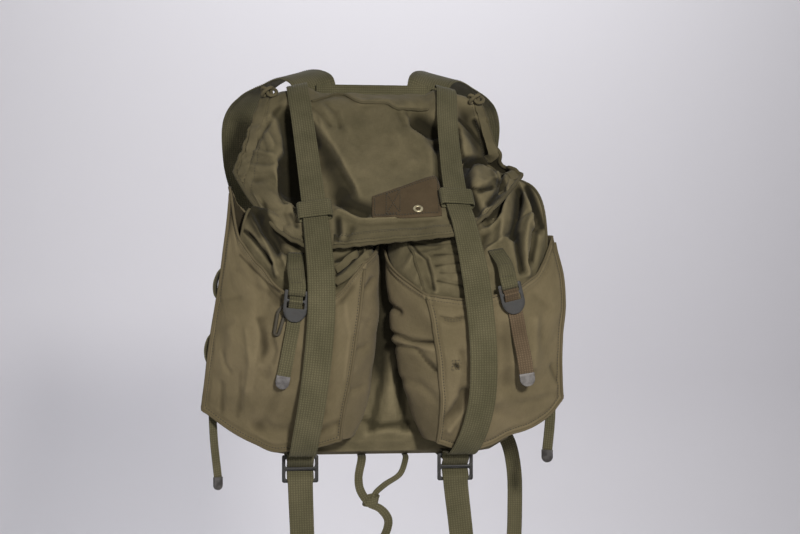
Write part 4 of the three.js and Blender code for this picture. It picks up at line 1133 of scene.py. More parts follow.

# %% [markdown]
# ## Folds and painted shade on the flap
# These lines follow the folds of the picture. The flap can't rise far under a closing strap, so each
# strap keeps its room.

# %% Flap folds
CLOSING_ON_FLAP = {
    "left": columns("v x", "0 -95, 0.05 -95, 0.12 -95, 0.3 -91, 0.5 -87, 0.8 -82, 0.98 -80"),
    "right": columns("v x", "0 91, 0.05 90, 0.12 90, 0.3 86, 0.5 84, 0.8 84, 0.98 89"),
}
FLAP_POINTS = (216, 168)
FLAP_ROOM = 9.0
FLAP_STRAP_ROOM = 2.2
FLAP_AT_EDGE = 0.35
FLAP_CREASES = lines_of("""
    5 20 288,114 292,150 292,185 299,206
    4 10 283,160 284,198
    3.6 -4 272,116 280,146 281,162
    10 6 316,140 326,170 336,196
    2.6 5 312,124 319,140
    6.5 17 418,121 434,131
    3.6 7 437,143 438,172 445,190
    2.6 13 458,128 460,145 463,158
    4 17 464,166 470,192 478,211
    4.4 22 470,163 489,161 504,166
    3.6 11 485,152 493,159
    2.2 9 474,121 479,131 484,147 487,154
    1.6 3 459,119 470,130 482,146
    2.2 8 500,172 503,181 505,188
    1.8 -4 337,209 346,213 357,219 372,221 395,219
    2.6 8 338,218 339,240
    2.6 -4 255,196 263,211 272,226 282,236 295,243
    2.2 4 262,203 270,216 280,229 292,238
    2.4 -4 285,227 292,234 303,239
    2.4 4 290,212 296,225
    2 2 270,209 287,206
    2.6 4 279,108 266,124 254,143 248,158
    3 7 339,199 352,210 366,215
    2.2 2.4 248,161 264,163 281,160
    5 4 256,178 270,176 280,188
    3 5 284,226 296,236 305,238
    3 4 284,212 288,222
    3.6 -5 486,178 500,181
    9 -8 474,176 488,178
    2 -2.2 268,133 273,146
    2 2 262,136 266,150
    2.2 -2 252,150 272,154
    2.6 3 312,108 322,116 330,126
    2.6 2.6 326,104 336,113 340,126
    2.6 2.4 398,112 404,124
    2.6 2.4 408,111 415,120
    14 2.6 368,116 396,168
    7 -1.6 384,112 412,160
    6 1.6 402,128 424,166
    4 1.2 340,128 362,150
    4 -1 356,170 384,180
    3 3 450,215 470,222 480,220
    3 4 352,226 345,246
    2.2 8 490,168 494,177 499,183
    1.8 -4 472,169 481,171 488,179
    2 6 471,188 480,190 492,187
    2.2 -5 478,213 488,210 500,204
    2.8 6 489,203 497,196 503,188
""")
FLAP_TUCKS = lines_of("""
    18 -11 300,106 331,146 342,167 353,186 362,206
    6 -4 308,103 324,98 332,95 345,95 352,99 360,103 387,103 395,109 432,111
    10 2.4 279,108 266,124 254,143 246,162
    10 -3.4 471,116 481,143 488,153 506,160
    6 -6 330,200 339,209 350,215 366,221 390,220 450,216
    7 -6 464,192 474,190 486,187 506,180
""")
# Painted shade: dark lines and patches in the flap's deep folds, beside the straps and over its right side
FLAP_PAINTED_SHADE = lines_of("""
    13 0.26 464,122 476,150
    2.2 0.36 458,130 460,145 463,156
    3.4 0.44 464,167 470,192 478,211
    4 0.46 473,163 488,161 503,165
    3.2 0.36 486,153 493,159
    1.8 0.4 474,121 479,131 485,150 488,155
    1.2 0.22 459,119 470,130 482,146
    2.2 0.32 501,173 505,186
    2.6 0.46 513,166 517,168
    9 0.32 318,142 330,166 342,190
    8 0.54 344,200 358,206 370,210
    3 0.3 338,218 339,238
    5 0.16 283,150 284,196
    4 0.16 436,140 444,190
    5 0.26 419,121 434,130
    2.6 0.3 296,241 304,243
    14 0.3 474,174 490,192
    3 0.24 290,214 297,226
    1.6 0.2 264,205 272,218 282,231 292,239
    3 0.4 492,170 495,178 499,182
    1.5 0.32 472,188 481,190 492,187
    3 0.34 489,204 498,196
""")

flap_grid = refine(flap_grid, *FLAP_POINTS)
along = shares(*FLAP_POINTS)[1]
room = np.full(along.shape, FLAP_ROOM)
for table in CLOSING_ON_FLAP.values():
    beside = np.abs(flap_grid[..., 0] - smooth(table["v"], table["x"], along))
    room = np.minimum(room, mix(FLAP_STRAP_ROOM, FLAP_ROOM, step_up(beside, 19, 26)))
flap_grid = press(
    flap_grid, FLAP_OUT, FLAP_CREASES, FLAP_TUCKS, room, ["first", "last", "bottom"],
    rumple(flap_grid, seed=11, cells=(15, 12), depth=0.7), FLAP_AT_EDGE)
flap = sheet_object("flap_cloth", [(flap_grid, FLAP_OUT)])
mark_darkening(flap, darkening_from_lines(FLAP_PAINTED_SHADE))
keep(flap, OLIVE, "olive_duck", "flap")
print("flap mesh:", len(flap.data.vertices), "points")

# %% [markdown]
# ## Finding places on a sheet
# Bands, patches and stitches follow the sheet they are sewn to. Each pixel of a line is matched with the
# nearest points of the sheet that show there.

# %% Laying lines on a sheet
SHOWS = 0.05
NEAREST = 4
PIXEL_STEP = 1.5
LINE_SOFTEN = 3


class Seen:
    """Holds a sheet's points by the pixel they show at."""

    def __init__(self, grid, outward):
        self.grid = grid
        self.normal = facing(grid, outward)
        self.rows, self.count = grid.shape[:2]
        across, down = [values.ravel() for values in seen(grid)]
        shows = ((self.normal * unit(CAMERA_AT - grid)).sum(axis=-1) > SHOWS).ravel()
        self.tree = KDTree(int(shows.sum()))
        for index in np.nonzero(shows)[0]:
            self.tree.insert((across[index], down[index], 0), int(index))
        self.tree.balance()

    def share(self, pixel):
        """Gives the shares of the point that shows at a pixel."""
        found = self.tree.find_n((pixel[0], pixel[1], 0), NEAREST)
        weights = np.array([1 / (0.05 + item[2]) for item in found])
        index = np.array([item[1] for item in found])
        weights = weights / weights.sum()
        return (
            float((weights * (index % self.count)).sum() / (self.count - 1)),
            float((weights * (index // self.count)).sum() / (self.rows - 1)))

    def at(self, across, along, lift):
        """Gives points lifted off the sheet at some shares, and their face."""
        face = unit(sample(self.normal, across, along))
        return sample(self.grid, across, along) + lift * face, face

    def line(self, path, lift):
        """Lays a line of the picture on the sheet; gives its points and their face."""
        pixels = []
        for first, second in zip(path, path[1:]):
            steps = max(2, int(math.dist(first, second) / PIXEL_STEP))
            for k in range(steps):
                pixels.append((mix(first[0], second[0], k / steps), mix(first[1], second[1], k / steps)))
        pixels.append(path[-1])
        found = np.array([self.share(pixel) for pixel in pixels])
        for _ in range(LINE_SOFTEN):
            found[1:-1] = (found[:-2] + 2 * found[1:-1] + found[2:]) / 4
        return self.at(found[:, 0], found[:, 1], lift)

    def patch(self, corners, count_across, count_along, lift):
        """Lays a patch on the sheet, its corners clockwise from the top left."""
        found = np.array([self.share(pixel) for pixel in corners])
        u, v = shares(count_across, count_along)
        top = mix(found[0], found[1], u[..., None])
        low = mix(found[3], found[2], u[..., None])
        place = mix(top, low, v[..., None])
        return self.at(place[..., 0], place[..., 1], lift)[0]


def sheet_line(grid, outward, start, end, count, lift=0.2):
    """Gives points and their face on a grid, between two pairs of shares."""
    across, along = [np.linspace(first, last, count) for first, last in zip(start, end)]
    face = unit(sample(facing(grid, outward), across, along))
    return sample(grid, across, along) + lift * face, face


on_flap = Seen(flap_grid, FLAP_OUT)
print("pixel (400, 200) on the flap, shares:", [round(value, 2) for value in on_flap.share((400, 200))])

# %% [markdown]
# ## Edges of the flap
# The edge is bound, a doubled band runs down each side, and the top seam is rolled. Rolled edges are round
# cords with low fold and pit values, so painted shade makes them a little darker than flat cloth.

# %% Flap edges
# Fold and pit value of rolled edges, low enough to give them painted shade
ROLL_SHADE_LEVEL = 0.38
FLAP_BINDING = 4.6
SIDE_BAND = (12.0, 1.6)
SIDE_BAND_INSET = 0.021
TOP_SEAM = 3.4
SEAM_PATH = [
    (312, 102), (324, 98), (333, 95), (345, 95), (352, 99), (360, 103), (387, 103), (396, 109), (430, 110)]
HEM_CORNERS = [(334, 235), (461, 222), (461, 231), (334, 245)]
HEM_LIFT = 1.7


def edge_band(name, line, face, width, thick, soft):
    """Lays a flat tape along every second point of a line on a sheet."""
    line = line[::2]
    side = unit(np.cross(face[::2], np.gradient(line, axis=0)))
    keep(band(name, line, width, thick, side, per_span=2, flatness=soft)[0], OLIVE, "olive_duck")


def roll(name, line, thick, look=OLIVE, slot="olive_duck"):
    """Lays a round rolled edge along a line."""
    keep(cord(name, line, thick, per_span=2), look, slot, fold_and_pit=ROLL_SHADE_LEVEL)


edge = sheet_line(flap_grid, FLAP_OUT, (0, 1), (1, 1), 120)[0]
side_left = sheet_line(flap_grid, FLAP_OUT, (0, 0.02), (0, 1), 60)[0]
side_right = sheet_line(flap_grid, FLAP_OUT, (1, 1), (1, 0.02), 60)[0]
roll("flap_binding", np.vstack([side_left[:-1:2], edge[::2], side_right[1::2]]), FLAP_BINDING)
for name, place in (("left", SIDE_BAND_INSET), ("right", 1 - SIDE_BAND_INSET)):
    line, face = sheet_line(flap_grid, FLAP_OUT, (place, 0.03), (place, 0.985), 60, lift=0.9)
    edge_band("flap_side_band_" + name, line, face, *SIDE_BAND, soft=6.0)
roll("flap_top_seam", on_flap.line(SEAM_PATH, lift=0.8)[0][::2], TOP_SEAM)
print("flap binding runs", round(float(run_length(edge)[-1])), "mm along the hem")

# %% [markdown]
# ## The patch and the hem band
# A brown patch with a boxed cross of stitching and a pale eyelet is sewn low on the flap, and a hem band
# crosses its front. The eyelet's ring is a small circle spun once round.

# %% Patch, hem band and eyelet
PATCH_CORNERS = [(372, 197), (437, 178), (442, 216), (372, 218)]
PATCH_LIFT = 1.4
PATCH_WALL = 1.2
PATCH_THREAD = 1.4
# Rows of stitches on the patch, from and to shares across and down it, and the points along each
PATCH_ROWS = [
    ((0.04, 0.07), (0.96, 0.07), 60), ((0.04, 0.93), (0.96, 0.93), 60),
    ((0.035, 0.08), (0.035, 0.92), 30), ((0.965, 0.08), (0.965, 0.92), 30),
    ((0.2, 0.1), (0.4, 0.85), 20), ((0.4, 0.1), (0.2, 0.85), 20),
    ((0.2, 0.1), (0.4, 0.1), 20), ((0.2, 0.85), (0.4, 0.85), 20),
    ((0.2, 0.1), (0.2, 0.85), 20), ((0.4, 0.1), (0.4, 0.85), 20),
]
EYELET_PATH = [(418, 209), (419, 209)]
EYELET_RING = 4.4
EYELET_WIRE = 1.6
EYELET_SQUASH = 0.6

patch_grid = on_flap.patch(PATCH_CORNERS, 44, 24, PATCH_LIFT)
keep(sheet_object("patch_cloth", [(patch_grid, FLAP_OUT)], PATCH_WALL), BROWN, "brown_duck", "flap_patch")
hem_grid = on_flap.patch(HEM_CORNERS, 60, 8, HEM_LIFT)
keep(sheet_object("hem_cloth", [(hem_grid, FLAP_OUT)]), OLIVE, "olive_duck", "flap_hem")
rows = [sheet_line(patch_grid, FLAP_OUT, *row, lift=0.3) for row in PATCH_ROWS]
stitches("patch_stitching", rows, "brown_duck", PATCH_THREAD)
rows = [sheet_line(hem_grid, FLAP_OUT, (0.01, along), (0.99, along), 90) for along in (0.2, 0.8)]
for inset in (0.030, 0.052):
    for across in (inset, 1 - inset):
        rows.append(sheet_line(flap_grid, FLAP_OUT, (across, 0.05), (across, 0.97), 90))
rows.append(sheet_line(flap_grid, FLAP_OUT, (0.02, 0.972), (0.98, 0.972), 150))
stitches("flap_stitching", rows, "olive_duck")

spot, face = Seen(patch_grid, FLAP_OUT).line(EYELET_PATH, lift=0.4)
bm = bmesh.new()
wire_place = Matrix.Translation((EYELET_RING, 0, 0)) @ Matrix.Rotation(math.pi / 2, 4, "X")
bmesh.ops.create_circle(bm, segments=10, radius=EYELET_WIRE, matrix=wire_place)
bmesh.ops.spin(
    bm, geom=bm.verts[:] + bm.edges[:], cent=(0, 0, 0), axis=(0, 0, 1), angle=2 * math.pi, steps=32,
    use_merge=True)
bmesh.ops.scale(bm, vec=(1, 1, EYELET_SQUASH), verts=bm.verts[:])
bmesh.ops.recalc_face_normals(bm, faces=bm.faces[:])
turn = Vector(face[0]).to_track_quat("Z", "Y").to_matrix().to_4x4()
ring_place = Matrix.Translation(Vector(spot[0] * MM)) @ turn @ Matrix.Scale(MM, 4)
bmesh.ops.transform(bm, matrix=ring_place, verts=bm.verts[:])
keep(to_object(bm, "eyelet_ring"), BRASS, "eyelet_brass", "flap_eyelet")
print("patch, hem band and eyelet laid")

# %% [markdown]
# ## The pockets
# A pocket is a full bag: a rounded front, a gusset down each side and one below. The four panels are
# shaped one by one and sewn along shared edges, so the seams stay sharp.

# %% Pocket tables
SEAM_NAMES = "z inner inner_depth outer outer_depth bulge sewn"
POCKETS = {
    "left": {
        "sign": -1,
        "seams": columns(SEAM_NAMES, """
            -115 24 138 178 108 10 10
            -135 24 146 178 119 10 10
            -200 26 169 185 139 8 9
            -250 31 186 192 154 9 8
            -300 38 190 200 160 11 9
            -350 45 186 206 154 10 14
            -385 51 178 210 143 12 24
            -430 55 166 212 138 4 38
        """),
        "hem": columns("share z", """
            0 -214, 0.1 -236, 0.2 -253, 0.365 -259, 0.55 -247
            0.72 -220, 0.85 -196, 0.935 -170, 1 -124
        """),
        "bottom": columns("share z", "0 -416, 0.35 -427, 0.6 -420, 1 -382"),
        "folds": columns(FOLD_NAMES, """
            -136 -262 -140 -335 10 6
            -104 -318 -116 -345 8 4
            -150 -402 -70 -410 8 4
        """),
    },
    "right": {
        "sign": 1,
        "seams": columns(SEAM_NAMES, """
            -150 18 150 196 120 10 8
            -200 27 169 205 134 14 8
            -250 42 187 211 148 20 9
            -300 52 192 207 152 23 13
            -350 58 190 207 150 22 22
            -385 60 184 211 141 16 32
            -430 57 166 213 136 3 46
        """),
        "hem": columns("share z", """
            0 -250, 0.12 -254, 0.3 -255, 0.52 -250
            0.745 -234, 0.88 -213, 0.965 -192, 1 -183
        """),
        "bottom": columns("share z", "0 -420, 0.28 -428, 0.55 -413, 0.83 -397, 1 -373"),
        "folds": columns(FOLD_NAMES, """
            20 -298 52 -306 7 5
            62 -412 88 -368 9 6
            122 -290 128 -345 10 4
        """),
    },
}
POCKET_BELLY = [12, 20, 5]
SEWN_FROM_EDGE = 15.0
SEWN_TOP = -166.0
SEWN_BOTTOM = -411.0
INNER_GUSSET_TOP = -184.0
SEAM_GAP = 0.4
OUTER_SWELL = 5.0
BOTTOM_SWELL = 6.0
CORNER_SHARE = 0.16


def edge_of(pocket, which, share):
    """Reads the height of a pocket's hem or bottom edge."""
    return smooth(pocket[which]["share"], pocket[which]["z"], share)


def pocket_panel(pocket, share, v):
    """Gives a pocket's front, from the inner seam out and from the hem down."""
    share = np.asarray(share, float)
    z = mix(edge_of(pocket, "hem", share), edge_of(pocket, "bottom", share), v)
    row = {name: smooth(pocket["seams"]["z"], pocket["seams"][name], z) for name in SEAM_NAMES.split()}
    x = pocket["sign"] * mix(row["inner"], row["outer"], share)
    inside = 4 * share * (1 - share)
    crown = np.interp(v, [0, 0.5, 1], POCKET_BELLY)
    y = -mix(row["inner_depth"], row["outer_depth"], share) - crown * inside
    y = y + fold_depth(pocket["folds"], x, z) * inside
    return np.stack([x, y, z], axis=-1)


def pocket_gusset(pocket, share, v, depth, below):
    """Gives a gusset from the front's seam, at depth 0, to the sack, at depth 1."""
    seam = pocket_panel(pocket, share, v)
    seam_z = seam[..., 2]
    seams = pocket["seams"]
    at_inner = np.asarray(share) == 0
    swell = np.sin(math.pi * depth)
    inner = smooth(seams["z"], seams["sewn"], np.full(seam_z.shape, SEWN_BOTTOM) if below else seam_z)
    outer = smooth(SACK["z"][4:8], SACK["half_width"][4:8], seam_z) - SEWN_FROM_EDGE
    end_x = pocket["sign"] * mix(inner, outer, share)
    end_z = np.full(seam_z.shape, SEWN_BOTTOM) if below else np.clip(seam_z, SEWN_BOTTOM, SEWN_TOP)
    if not below and np.all(at_inner):
        end_z = mix(INNER_GUSSET_TOP, np.maximum(pocket["bottom"]["z"][0], SEWN_BOTTOM), v)
    bulge = np.where(at_inner, smooth(seams["z"], seams["bulge"], seam_z), OUTER_SWELL)
    outward = np.where(at_inner, -1, 1)
    x = mix(seam[..., 0], end_x, depth) + (0 if below else pocket["sign"] * outward * bulge * swell)
    y = mix(seam[..., 1], -SACK_FRONT - SEAM_GAP, depth)
    z = mix(seam_z, end_z, depth) - (BOTTOM_SWELL * swell if below else 0)
    return np.stack([x, y, z], axis=-1)


def pocket_panels(pocket, across_count, down_count, gusset_count):
    """Gives a pocket's four panels: front, inner, outer and bottom gusset."""
    share, v = shares(across_count, down_count)
    front = pocket_panel(pocket, share, v)
    depth, v = shares(gusset_count, down_count)
    inner = pocket_gusset(pocket, np.zeros(depth.shape), v, depth, False)
    outer = pocket_gusset(pocket, np.ones(depth.shape), v, depth, False)
    share, depth = shares(across_count, gusset_count)
    under = pocket_gusset(pocket, share, np.ones(share.shape), depth, True)
    for end, column in ((0, inner[-1]), (1, outer[-1])):
        near = 1 - step_up(np.abs(share - end), 0, CORNER_SHARE)
        own = under[:, 0 if end == 0 else -1]
        under = under + near[..., None] * (column - own)[:, None, :]
    return [front, inner, outer, under]


left_front = pocket_panels(POCKETS["left"], 20, 20, 8)[0]
print("left pocket front panel, mm:", [round(float(value)) for value in flat_size(left_front)])

# %% [markdown]
# ## Folds, stains and painted shade on the pockets
# The fronts are nearly smooth, and the gussets between them fold across. A groove beside each seam shows
# where the cloth is doubled.

# %% Pocket folds
POCKET_CREASES = {
    "left": lines_of("""
        2.4 2.6 259,318 264,334 265,348 261,362
        2.4 2 272,340 275,350 272,362
        5 2.4 250,266 260,296 262,318
        2 1.6 204,296 222,300 240,297
        2 1.6 222,352 226,366 230,372
        2.4 -1.6 246,330 250,362 246,392
        3 1.6 236,268 250,282 268,294
        3 1.6 222,384 222,410
        3 1.6 240,391 240,410
        4 4 318,434 336,425 349,420
        3 3 300,425 322,414
        4 2 330,300 334,350 330,400
        3 -2 345,305 349,335 345,380
        3 3 340,300 352,286
        2.5 1.4 214,330 232,322
        7 -1.6 235,320 225,370
        6 3 275,395 260,425
    """),
    "right": lines_of("""
        4 4 462,352 466,375 462,392
        4 5 443,424 456,408 467,392
        4 -4 449,430 463,412 470,398
        2 3.4 552,366 558,381
        6 2 505,340 509,360 506,388
        6 1.8 546,300 541,330 546,352
        4 1.4 520,404 545,398 560,394
        5 -3 536,320 534,365
        3 3 440,318 452,322 462,318
        2 3.5 456,364 457,366
        6 1.4 500,412 520,420
        4 3 470,436 478,420
    """),
}
POCKET_TUCKS = {
    "left": lines_of("""
        8 2 262,330 256,365 250,400
    """),
    "right": lines_of("""
        8 -3 530,290 545,300 556,310
    """),
}
GUSSET_CREASES = {
    "left": lines_of("""
        3 5 352,300 365,292 373,280
        3 2 356,318 368,322
        3 2 352,352 366,346
        3 2 346,392 362,386
    """),
    "right": lines_of("""
        2.2 4 390,333 412,341 436,342
        2 3 393,346 416,348 427,362 437,371
        2.4 -2 392,339 414,345 432,350
        3 5 388,306 398,312
        4 2 402,380 420,384 436,400
    """),
}
# Real stains low on the left pocket, and painted shade: dark lines in creases and gusset folds, the darned
# hole, dark spots beside the buckles and the right tail's shadow
POCKET_STAINS_AND_SHADE = lines_of("""
    3 0.17 222,376 222,414
    3 0.17 241,372 238,416
    9 0.17 278,382 286,384
    5 0.17 262,320 264,352
    7 0.26 272,290 278,300
    12 0.06 474,350 476,420
    8 0.2 508,326 511,380
    10 0.06 505,395 545,400
    6 0.08 440,420 470,400
    2.6 0.48 455,365 458,367
    9 0.15 424,318 436,372
    1.3 0.34 390,333 412,341 436,342
    1.3 0.3 393,346 416,348 427,362 437,371
    1.2 0.28 440,316 452,318 464,317
    1.3 0.34 240,255 255,271 268,283 280,292
""")
FRONT = (0, -1, 0)
HEM_WIDTH = 8.5
HEM_RISE = 1.5
HEM_EDGE = 1.2
HEM_SHADOW = 1.4
GROOVE_INSET = 5.6
GROOVE_REACH = 1.5
GROOVE_DEPTH = 2.2
# Strength of the painted shade deep in each pocket's mouth
MOUTH_SHADE = 0.56


def press_panel(grid, outward, creases, tucks, seams, uneven, groove):
    """Presses creases into a panel, away from its seams, and doubles its hem."""
    from_seam = from_edges(grid, seams)
    height = (crease_height(*seen(grid), creases, tucks) + uneven) * step_up(from_seam, 0.5, 9)
    if groove:
        height = height - GROOVE_DEPTH * np.exp(-((from_seam - GROOVE_INSET) / GROOVE_REACH) ** 2)
    below = from_edges(grid, ["top"])
    folded = 1 - step_up(below, HEM_WIDTH - HEM_EDGE, HEM_WIDTH + HEM_EDGE)
    shadow = np.exp(-((below - HEM_WIDTH - 1.6) / HEM_SHADOW) ** 2)
    height = height + (HEM_RISE * folded - GROOVE_DEPTH / 2 * shadow) * step_up(from_seam, 0.2, 2)
    return ease_out(grid + height[..., None] * facing(grid, outward), 1)


def pocket_outward(pocket, which):
    """Tells which way a pocket's panel faces."""
    sign = pocket["sign"]
    return {"front": FRONT, "inner": (-sign, 0, 0), "outer": (sign, 0, 0), "under": (0, 0, -1)}[which]


def inside_mouth(place):
    """Says how much painted shade a pocket gets deep in its mouth."""
    return MOUTH_SHADE * step_up(place[:, 1], -142, -124) * step_up(place[:, 2], -245, -205)


print("pocket creases:", {side: len(rows) for side, rows in POCKET_CREASES.items()})

# %% [markdown]
# ## Sewing the pockets
# The coarse panels settle together with their seams held. Each is then made finer, creased and welded to
# its neighbours.

# %% Sewing the pockets
NO_LINES = {"left": [], "right": []}
# Each panel's points, the seams that hold it, its creases and tucks, and its seed, cells and unevenness
PANELS = {
    "front": ((104, 100), ["first", "last", "bottom"], POCKET_CREASES, POCKET_TUCKS, (21, (8, 9), 0.35)),
    "inner": ((38, 100), ["first", "last"], GUSSET_CREASES, NO_LINES, (22, (3, 8), 0.5)),
    "outer": ((38, 100), ["first", "last"], NO_LINES, NO_LINES, (23, (4, 10), 0.9)),
    "under": ((104, 34), None, NO_LINES, NO_LINES, None),
}
GUSSET_EDGES = [("last", "first"), ("last", "first"), ("bottom", "top")]

pocket_grids = {}
for hand, pocket in POCKETS.items():
    coarse = pocket_panels(pocket, across_count=22, down_count=20, gusset_count=8)
    firm = 0.3 + 0.7 * (1 - step_up(from_edges(coarse[0], ["first", "last", "bottom"]), 0, 12))
    held = [np.maximum(firm, 0.8 * (1 - step_up(from_edges(coarse[0], ["top"]), 0, 8)))]
    for grid, (sewn, seam) in zip(coarse[1:], GUSSET_EDGES):
        firm = 0.3 + 0.7 * (1 - step_up(from_edges(grid, [sewn]), 0, 6))
        held.append(np.maximum(firm, 1 - step_up(from_edges(grid, [seam]), 0, 12)))
    grids = {}
    for which, grid in zip(PANELS, settle(coarse, held, spare=0.014, cap=2.0, bend=5.0)):
        size, seams, creases, tucks, uneven = PANELS[which]
        fine = refine(grid, *size)
        if seams:
            fine = press_panel(
                fine, pocket_outward(pocket, which), creases[hand], tucks[hand], seams,
                rumple(fine, *uneven), which == "front")
        grids[which] = fine
    pocket_grids[hand] = grids
    panels = [(grid, pocket_outward(pocket, which)) for which, grid in grids.items()]
    piece = sheet_object("pocket_cloth_" + hand, panels)
    mark_darkening(piece, darkening_from_lines(POCKET_STAINS_AND_SHADE))
    mark_darkening(piece, inside_mouth)
    keep(piece, FADED, "faded_duck", "pocket_" + hand)
    print("pocket", hand, "mesh:", len(piece.data.vertices), "points")

# %% [markdown]
# ## Piping and hems
# Piping stands along each front's seams, and the mouth's edge is a rolled lip. Two rows of stitches hold
# the hem and one runs in the groove.

# %% Pocket seams and hems
PIPING = 3.4
LIP = 3.0
SEAM_THREAD = 1.3
for hand, pocket in POCKETS.items():
    grids = pocket_grids[hand]
    front = grids["front"]
    seam = np.vstack([front[4::3, 0], front[-1, 2:-2:3], front[-1:3:-3, -1]])
    out = unit(seam - seam.mean(axis=0)) * np.array([1, 0, 1]) + np.array([0, -0.5, 0])
    roll("pocket_piping_" + hand, seam + 0.4 * unit(out), PIPING, FADED, "faded_duck")
    lip = np.vstack([grids["inner"][0, 30:0:-4], front[0, ::3], grids["outer"][0, 2:32:4]])
    roll("pocket_lip_" + hand, lip, LIP, FADED, "faded_duck")
    width, length = flat_size(front)
    rows = []
    for off in (2.6, HEM_WIDTH - 1.8):
        down = off / length
        rows.append(sheet_line(front, FRONT, (0.01, down), (0.99, down), 140))
        for which in ("inner", "outer"):
            outward = pocket_outward(pocket, which)
            rows.append(sheet_line(grids[which], outward, (0.05, down), (0.9, down), 50))
    stitches("pocket_stitching_" + hand, rows, "faded_duck")
    inset = GROOVE_INSET / width
    rows = [sheet_line(front, FRONT, (across, 0.06), (across, 0.98), 120) for across in (inset, 1 - inset)]
    down = 1 - GROOVE_INSET / length
    rows.append(sheet_line(front, FRONT, (0.02, down), (0.98, down), 120))
    stitches("pocket_seam_stitching_" + hand, rows, "faded_duck", SEAM_THREAD)

# %% [markdown]
# ## The pocket flaps
# A flap is sewn to the sack above each pocket, falls forward and tucks into the mouth. Its tab pulls it
# down, so folds run from the top corners to the tab.

# %% Pocket flap shape
FLAP_TOP = -164.0
FLAP_INNER_SHARE = 0.01
FLAP_TUCK = 7.0
FLAP_CLEAR = 7.0
FLAP_CURL = 1.3
FLAP_FACE = (0, -1, 0.6)
POCKET_FLAP_COARSE = (24, 18)
# Where each flap starts on the sack and reaches on the hem, how its outer top is drawn out and puffed up,
# where its outer roll starts and its flat size in metres
POCKET_FLAPS = {
    "left": dict(
        inner_top=16.0, outer_top=128.0, outer_share=0.90, drawn=(14.0, 0.0, 12.0), puff=(-4.0, -6.0, 8.0),
        roll_start=0.4, flat=(0.170, 0.130)),
    "right": dict(
        inner_top=9.0, outer_top=148.0, outer_share=0.93, drawn=(10.0, 56.0, 48.0), puff=(14.0, -10.0, 6.0),
        roll_start=0.1, flat=(0.195, 0.150)),
}


def pocket_flap_point(hand, share, v, lift=0.0):
    """Gives a pocket flap, from the sack's front into the mouth."""
    pocket = POCKETS[hand]
    fit = POCKET_FLAPS[hand]
    lip = pocket_panel(pocket, mix(FLAP_INNER_SHARE, fit["outer_share"], share), np.zeros(share.shape))
    puffed = step_up(share, 0.55, 1.0)
    out_x, out_y, out_z = fit["drawn"]
    end_y = np.minimum(lip[..., 1] + FLAP_CLEAR, -SACK_FRONT - 4)
    turn = v * math.pi / 2
    out = np.sin(turn) ** FLAP_CURL
    down = 1 - np.cos(turn)
    top_x = pocket["sign"] * (mix(fit["inner_top"], fit["outer_top"], share) + out_x * puffed)
    x = mix(top_x, lip[..., 0], v)
    y = mix(-SACK_FRONT - SEAM_GAP - 2 + out_y * puffed, end_y, out) - lift
    z = mix(FLAP_TOP + out_z * puffed, lip[..., 2] - FLAP_TUCK, down) + lift / 2
    return np.stack([x, y, z], axis=-1)


hem_width = flat_size(pocket_flap_point("left", *shares(*POCKET_FLAP_COARSE)))[0]
print("left pocket flap is", round(float(hem_width)), "mm across")

# %% [markdown]
# ## Folds and painted shade on the pocket flaps
# The right flap gathers beside its tab, and the left one into two pleats at its inner side. Thin painted dark
# lines and patches shade their sharp folds and hollows.

# %% Pocket flap folds
POCKET_FLAP_CREASES = {
    "left": lines_of("""
        2 6 242,229 252,238 263,251 272,264
        3.2 -7 246,207 254,220 263,237 272,253 278,275
        6 14 250,203 258,217 267,232 277,250
        3.5 -5 264,220 280,250 287,268
        3 6 272,230 286,252
        4 6 340,258 356,252 372,240
        3 5 338,272 352,262 368,250
        3 -3 340,280 358,268 372,256
        3 4 336,288 350,280
    """),
    "right": lines_of("""
        4 6 399,242 414,264 430,288
        2.6 -4 404,241 416,254 428,260 431,272 435,292
        14 -9 448,252 450,282
        2.2 2.6 412,244 440,243
        2.2 2.6 432,256 462,254
        2.2 2.4 436,266 450,264 466,262
        2.4 2.6 438,281 452,284 468,287
        2.2 2 420,250 446,249 466,246
        2.2 2 440,273 466,273
        1.6 5 411,243 420,254 427,260 431,274 434,290
        5 20 518,190 516,214 513,232
        3.6 -7 512,180 506,200 502,225 500,240
        3.4 -7 520,180 528,200 534,212 528,225 524,250 526,274
        4 16 526,185 533,200 538,215 542,228
        3 12 537,230 535,245 531,262
        3 12 517,234 519,250 523,272
        1.8 -4 534,224 543,230
        4 12 486,220 497,211 503,197
        1.8 -4 482,229 490,228 501,219
        1.8 -3 487,248 500,241 514,233
        1.4 3 522,215 533,211
        5 8 484,232 478,262
    """),
}
POCKET_FLAP_TUCKS = {
    "left": lines_of("""
        9 5 333,263 345,257 358,246
        9 5 334,277 350,264 367,248
    """),
    "right": [],
}
# Painted shade: dark lines and patches in the folds and hollows of the pocket flaps
POCKET_FLAP_PAINTED_SHADE = lines_of("""
    4.6 0.48 518,192 516,214 514,230
    3.8 0.48 527,188 534,204 539,217 542,227
    2.6 0.4 537,232 535,246 532,260
    2.8 0.44 517,235 519,250 523,270
    4.4 0.46 487,219 497,211 503,198
    1.4 0.3 488,246 513,231
    4.5 0.48 244,212 247,206 254,204 263,210
    7 0.4 247,213 254,222 261,233
    1.5 0.4 411,243 420,254 427,260 431,274 434,290
    7.5 0.52 250,200 259,214 268,231 276,244
    4 0.48 262,210 268,220 275,232 286,241 297,247
    1.8 0.46 241,214 242,229 252,238 263,251 271,263
    4 0.2 277,250 284,264
    1.8 0.44 335,262 345,257 356,248
    1.6 0.44 336,276 350,264 366,249
    5 0.46 357,247 370,245
    3 0.14 412,244 470,238
    1.1 0.32 407,242 430,246 458,243
    1.1 0.34 434,255 462,254
    1.1 0.32 436,266 450,264 466,262
    1.1 0.36 437,281 452,284 468,287
    1.1 0.3 440,273 466,273
""")
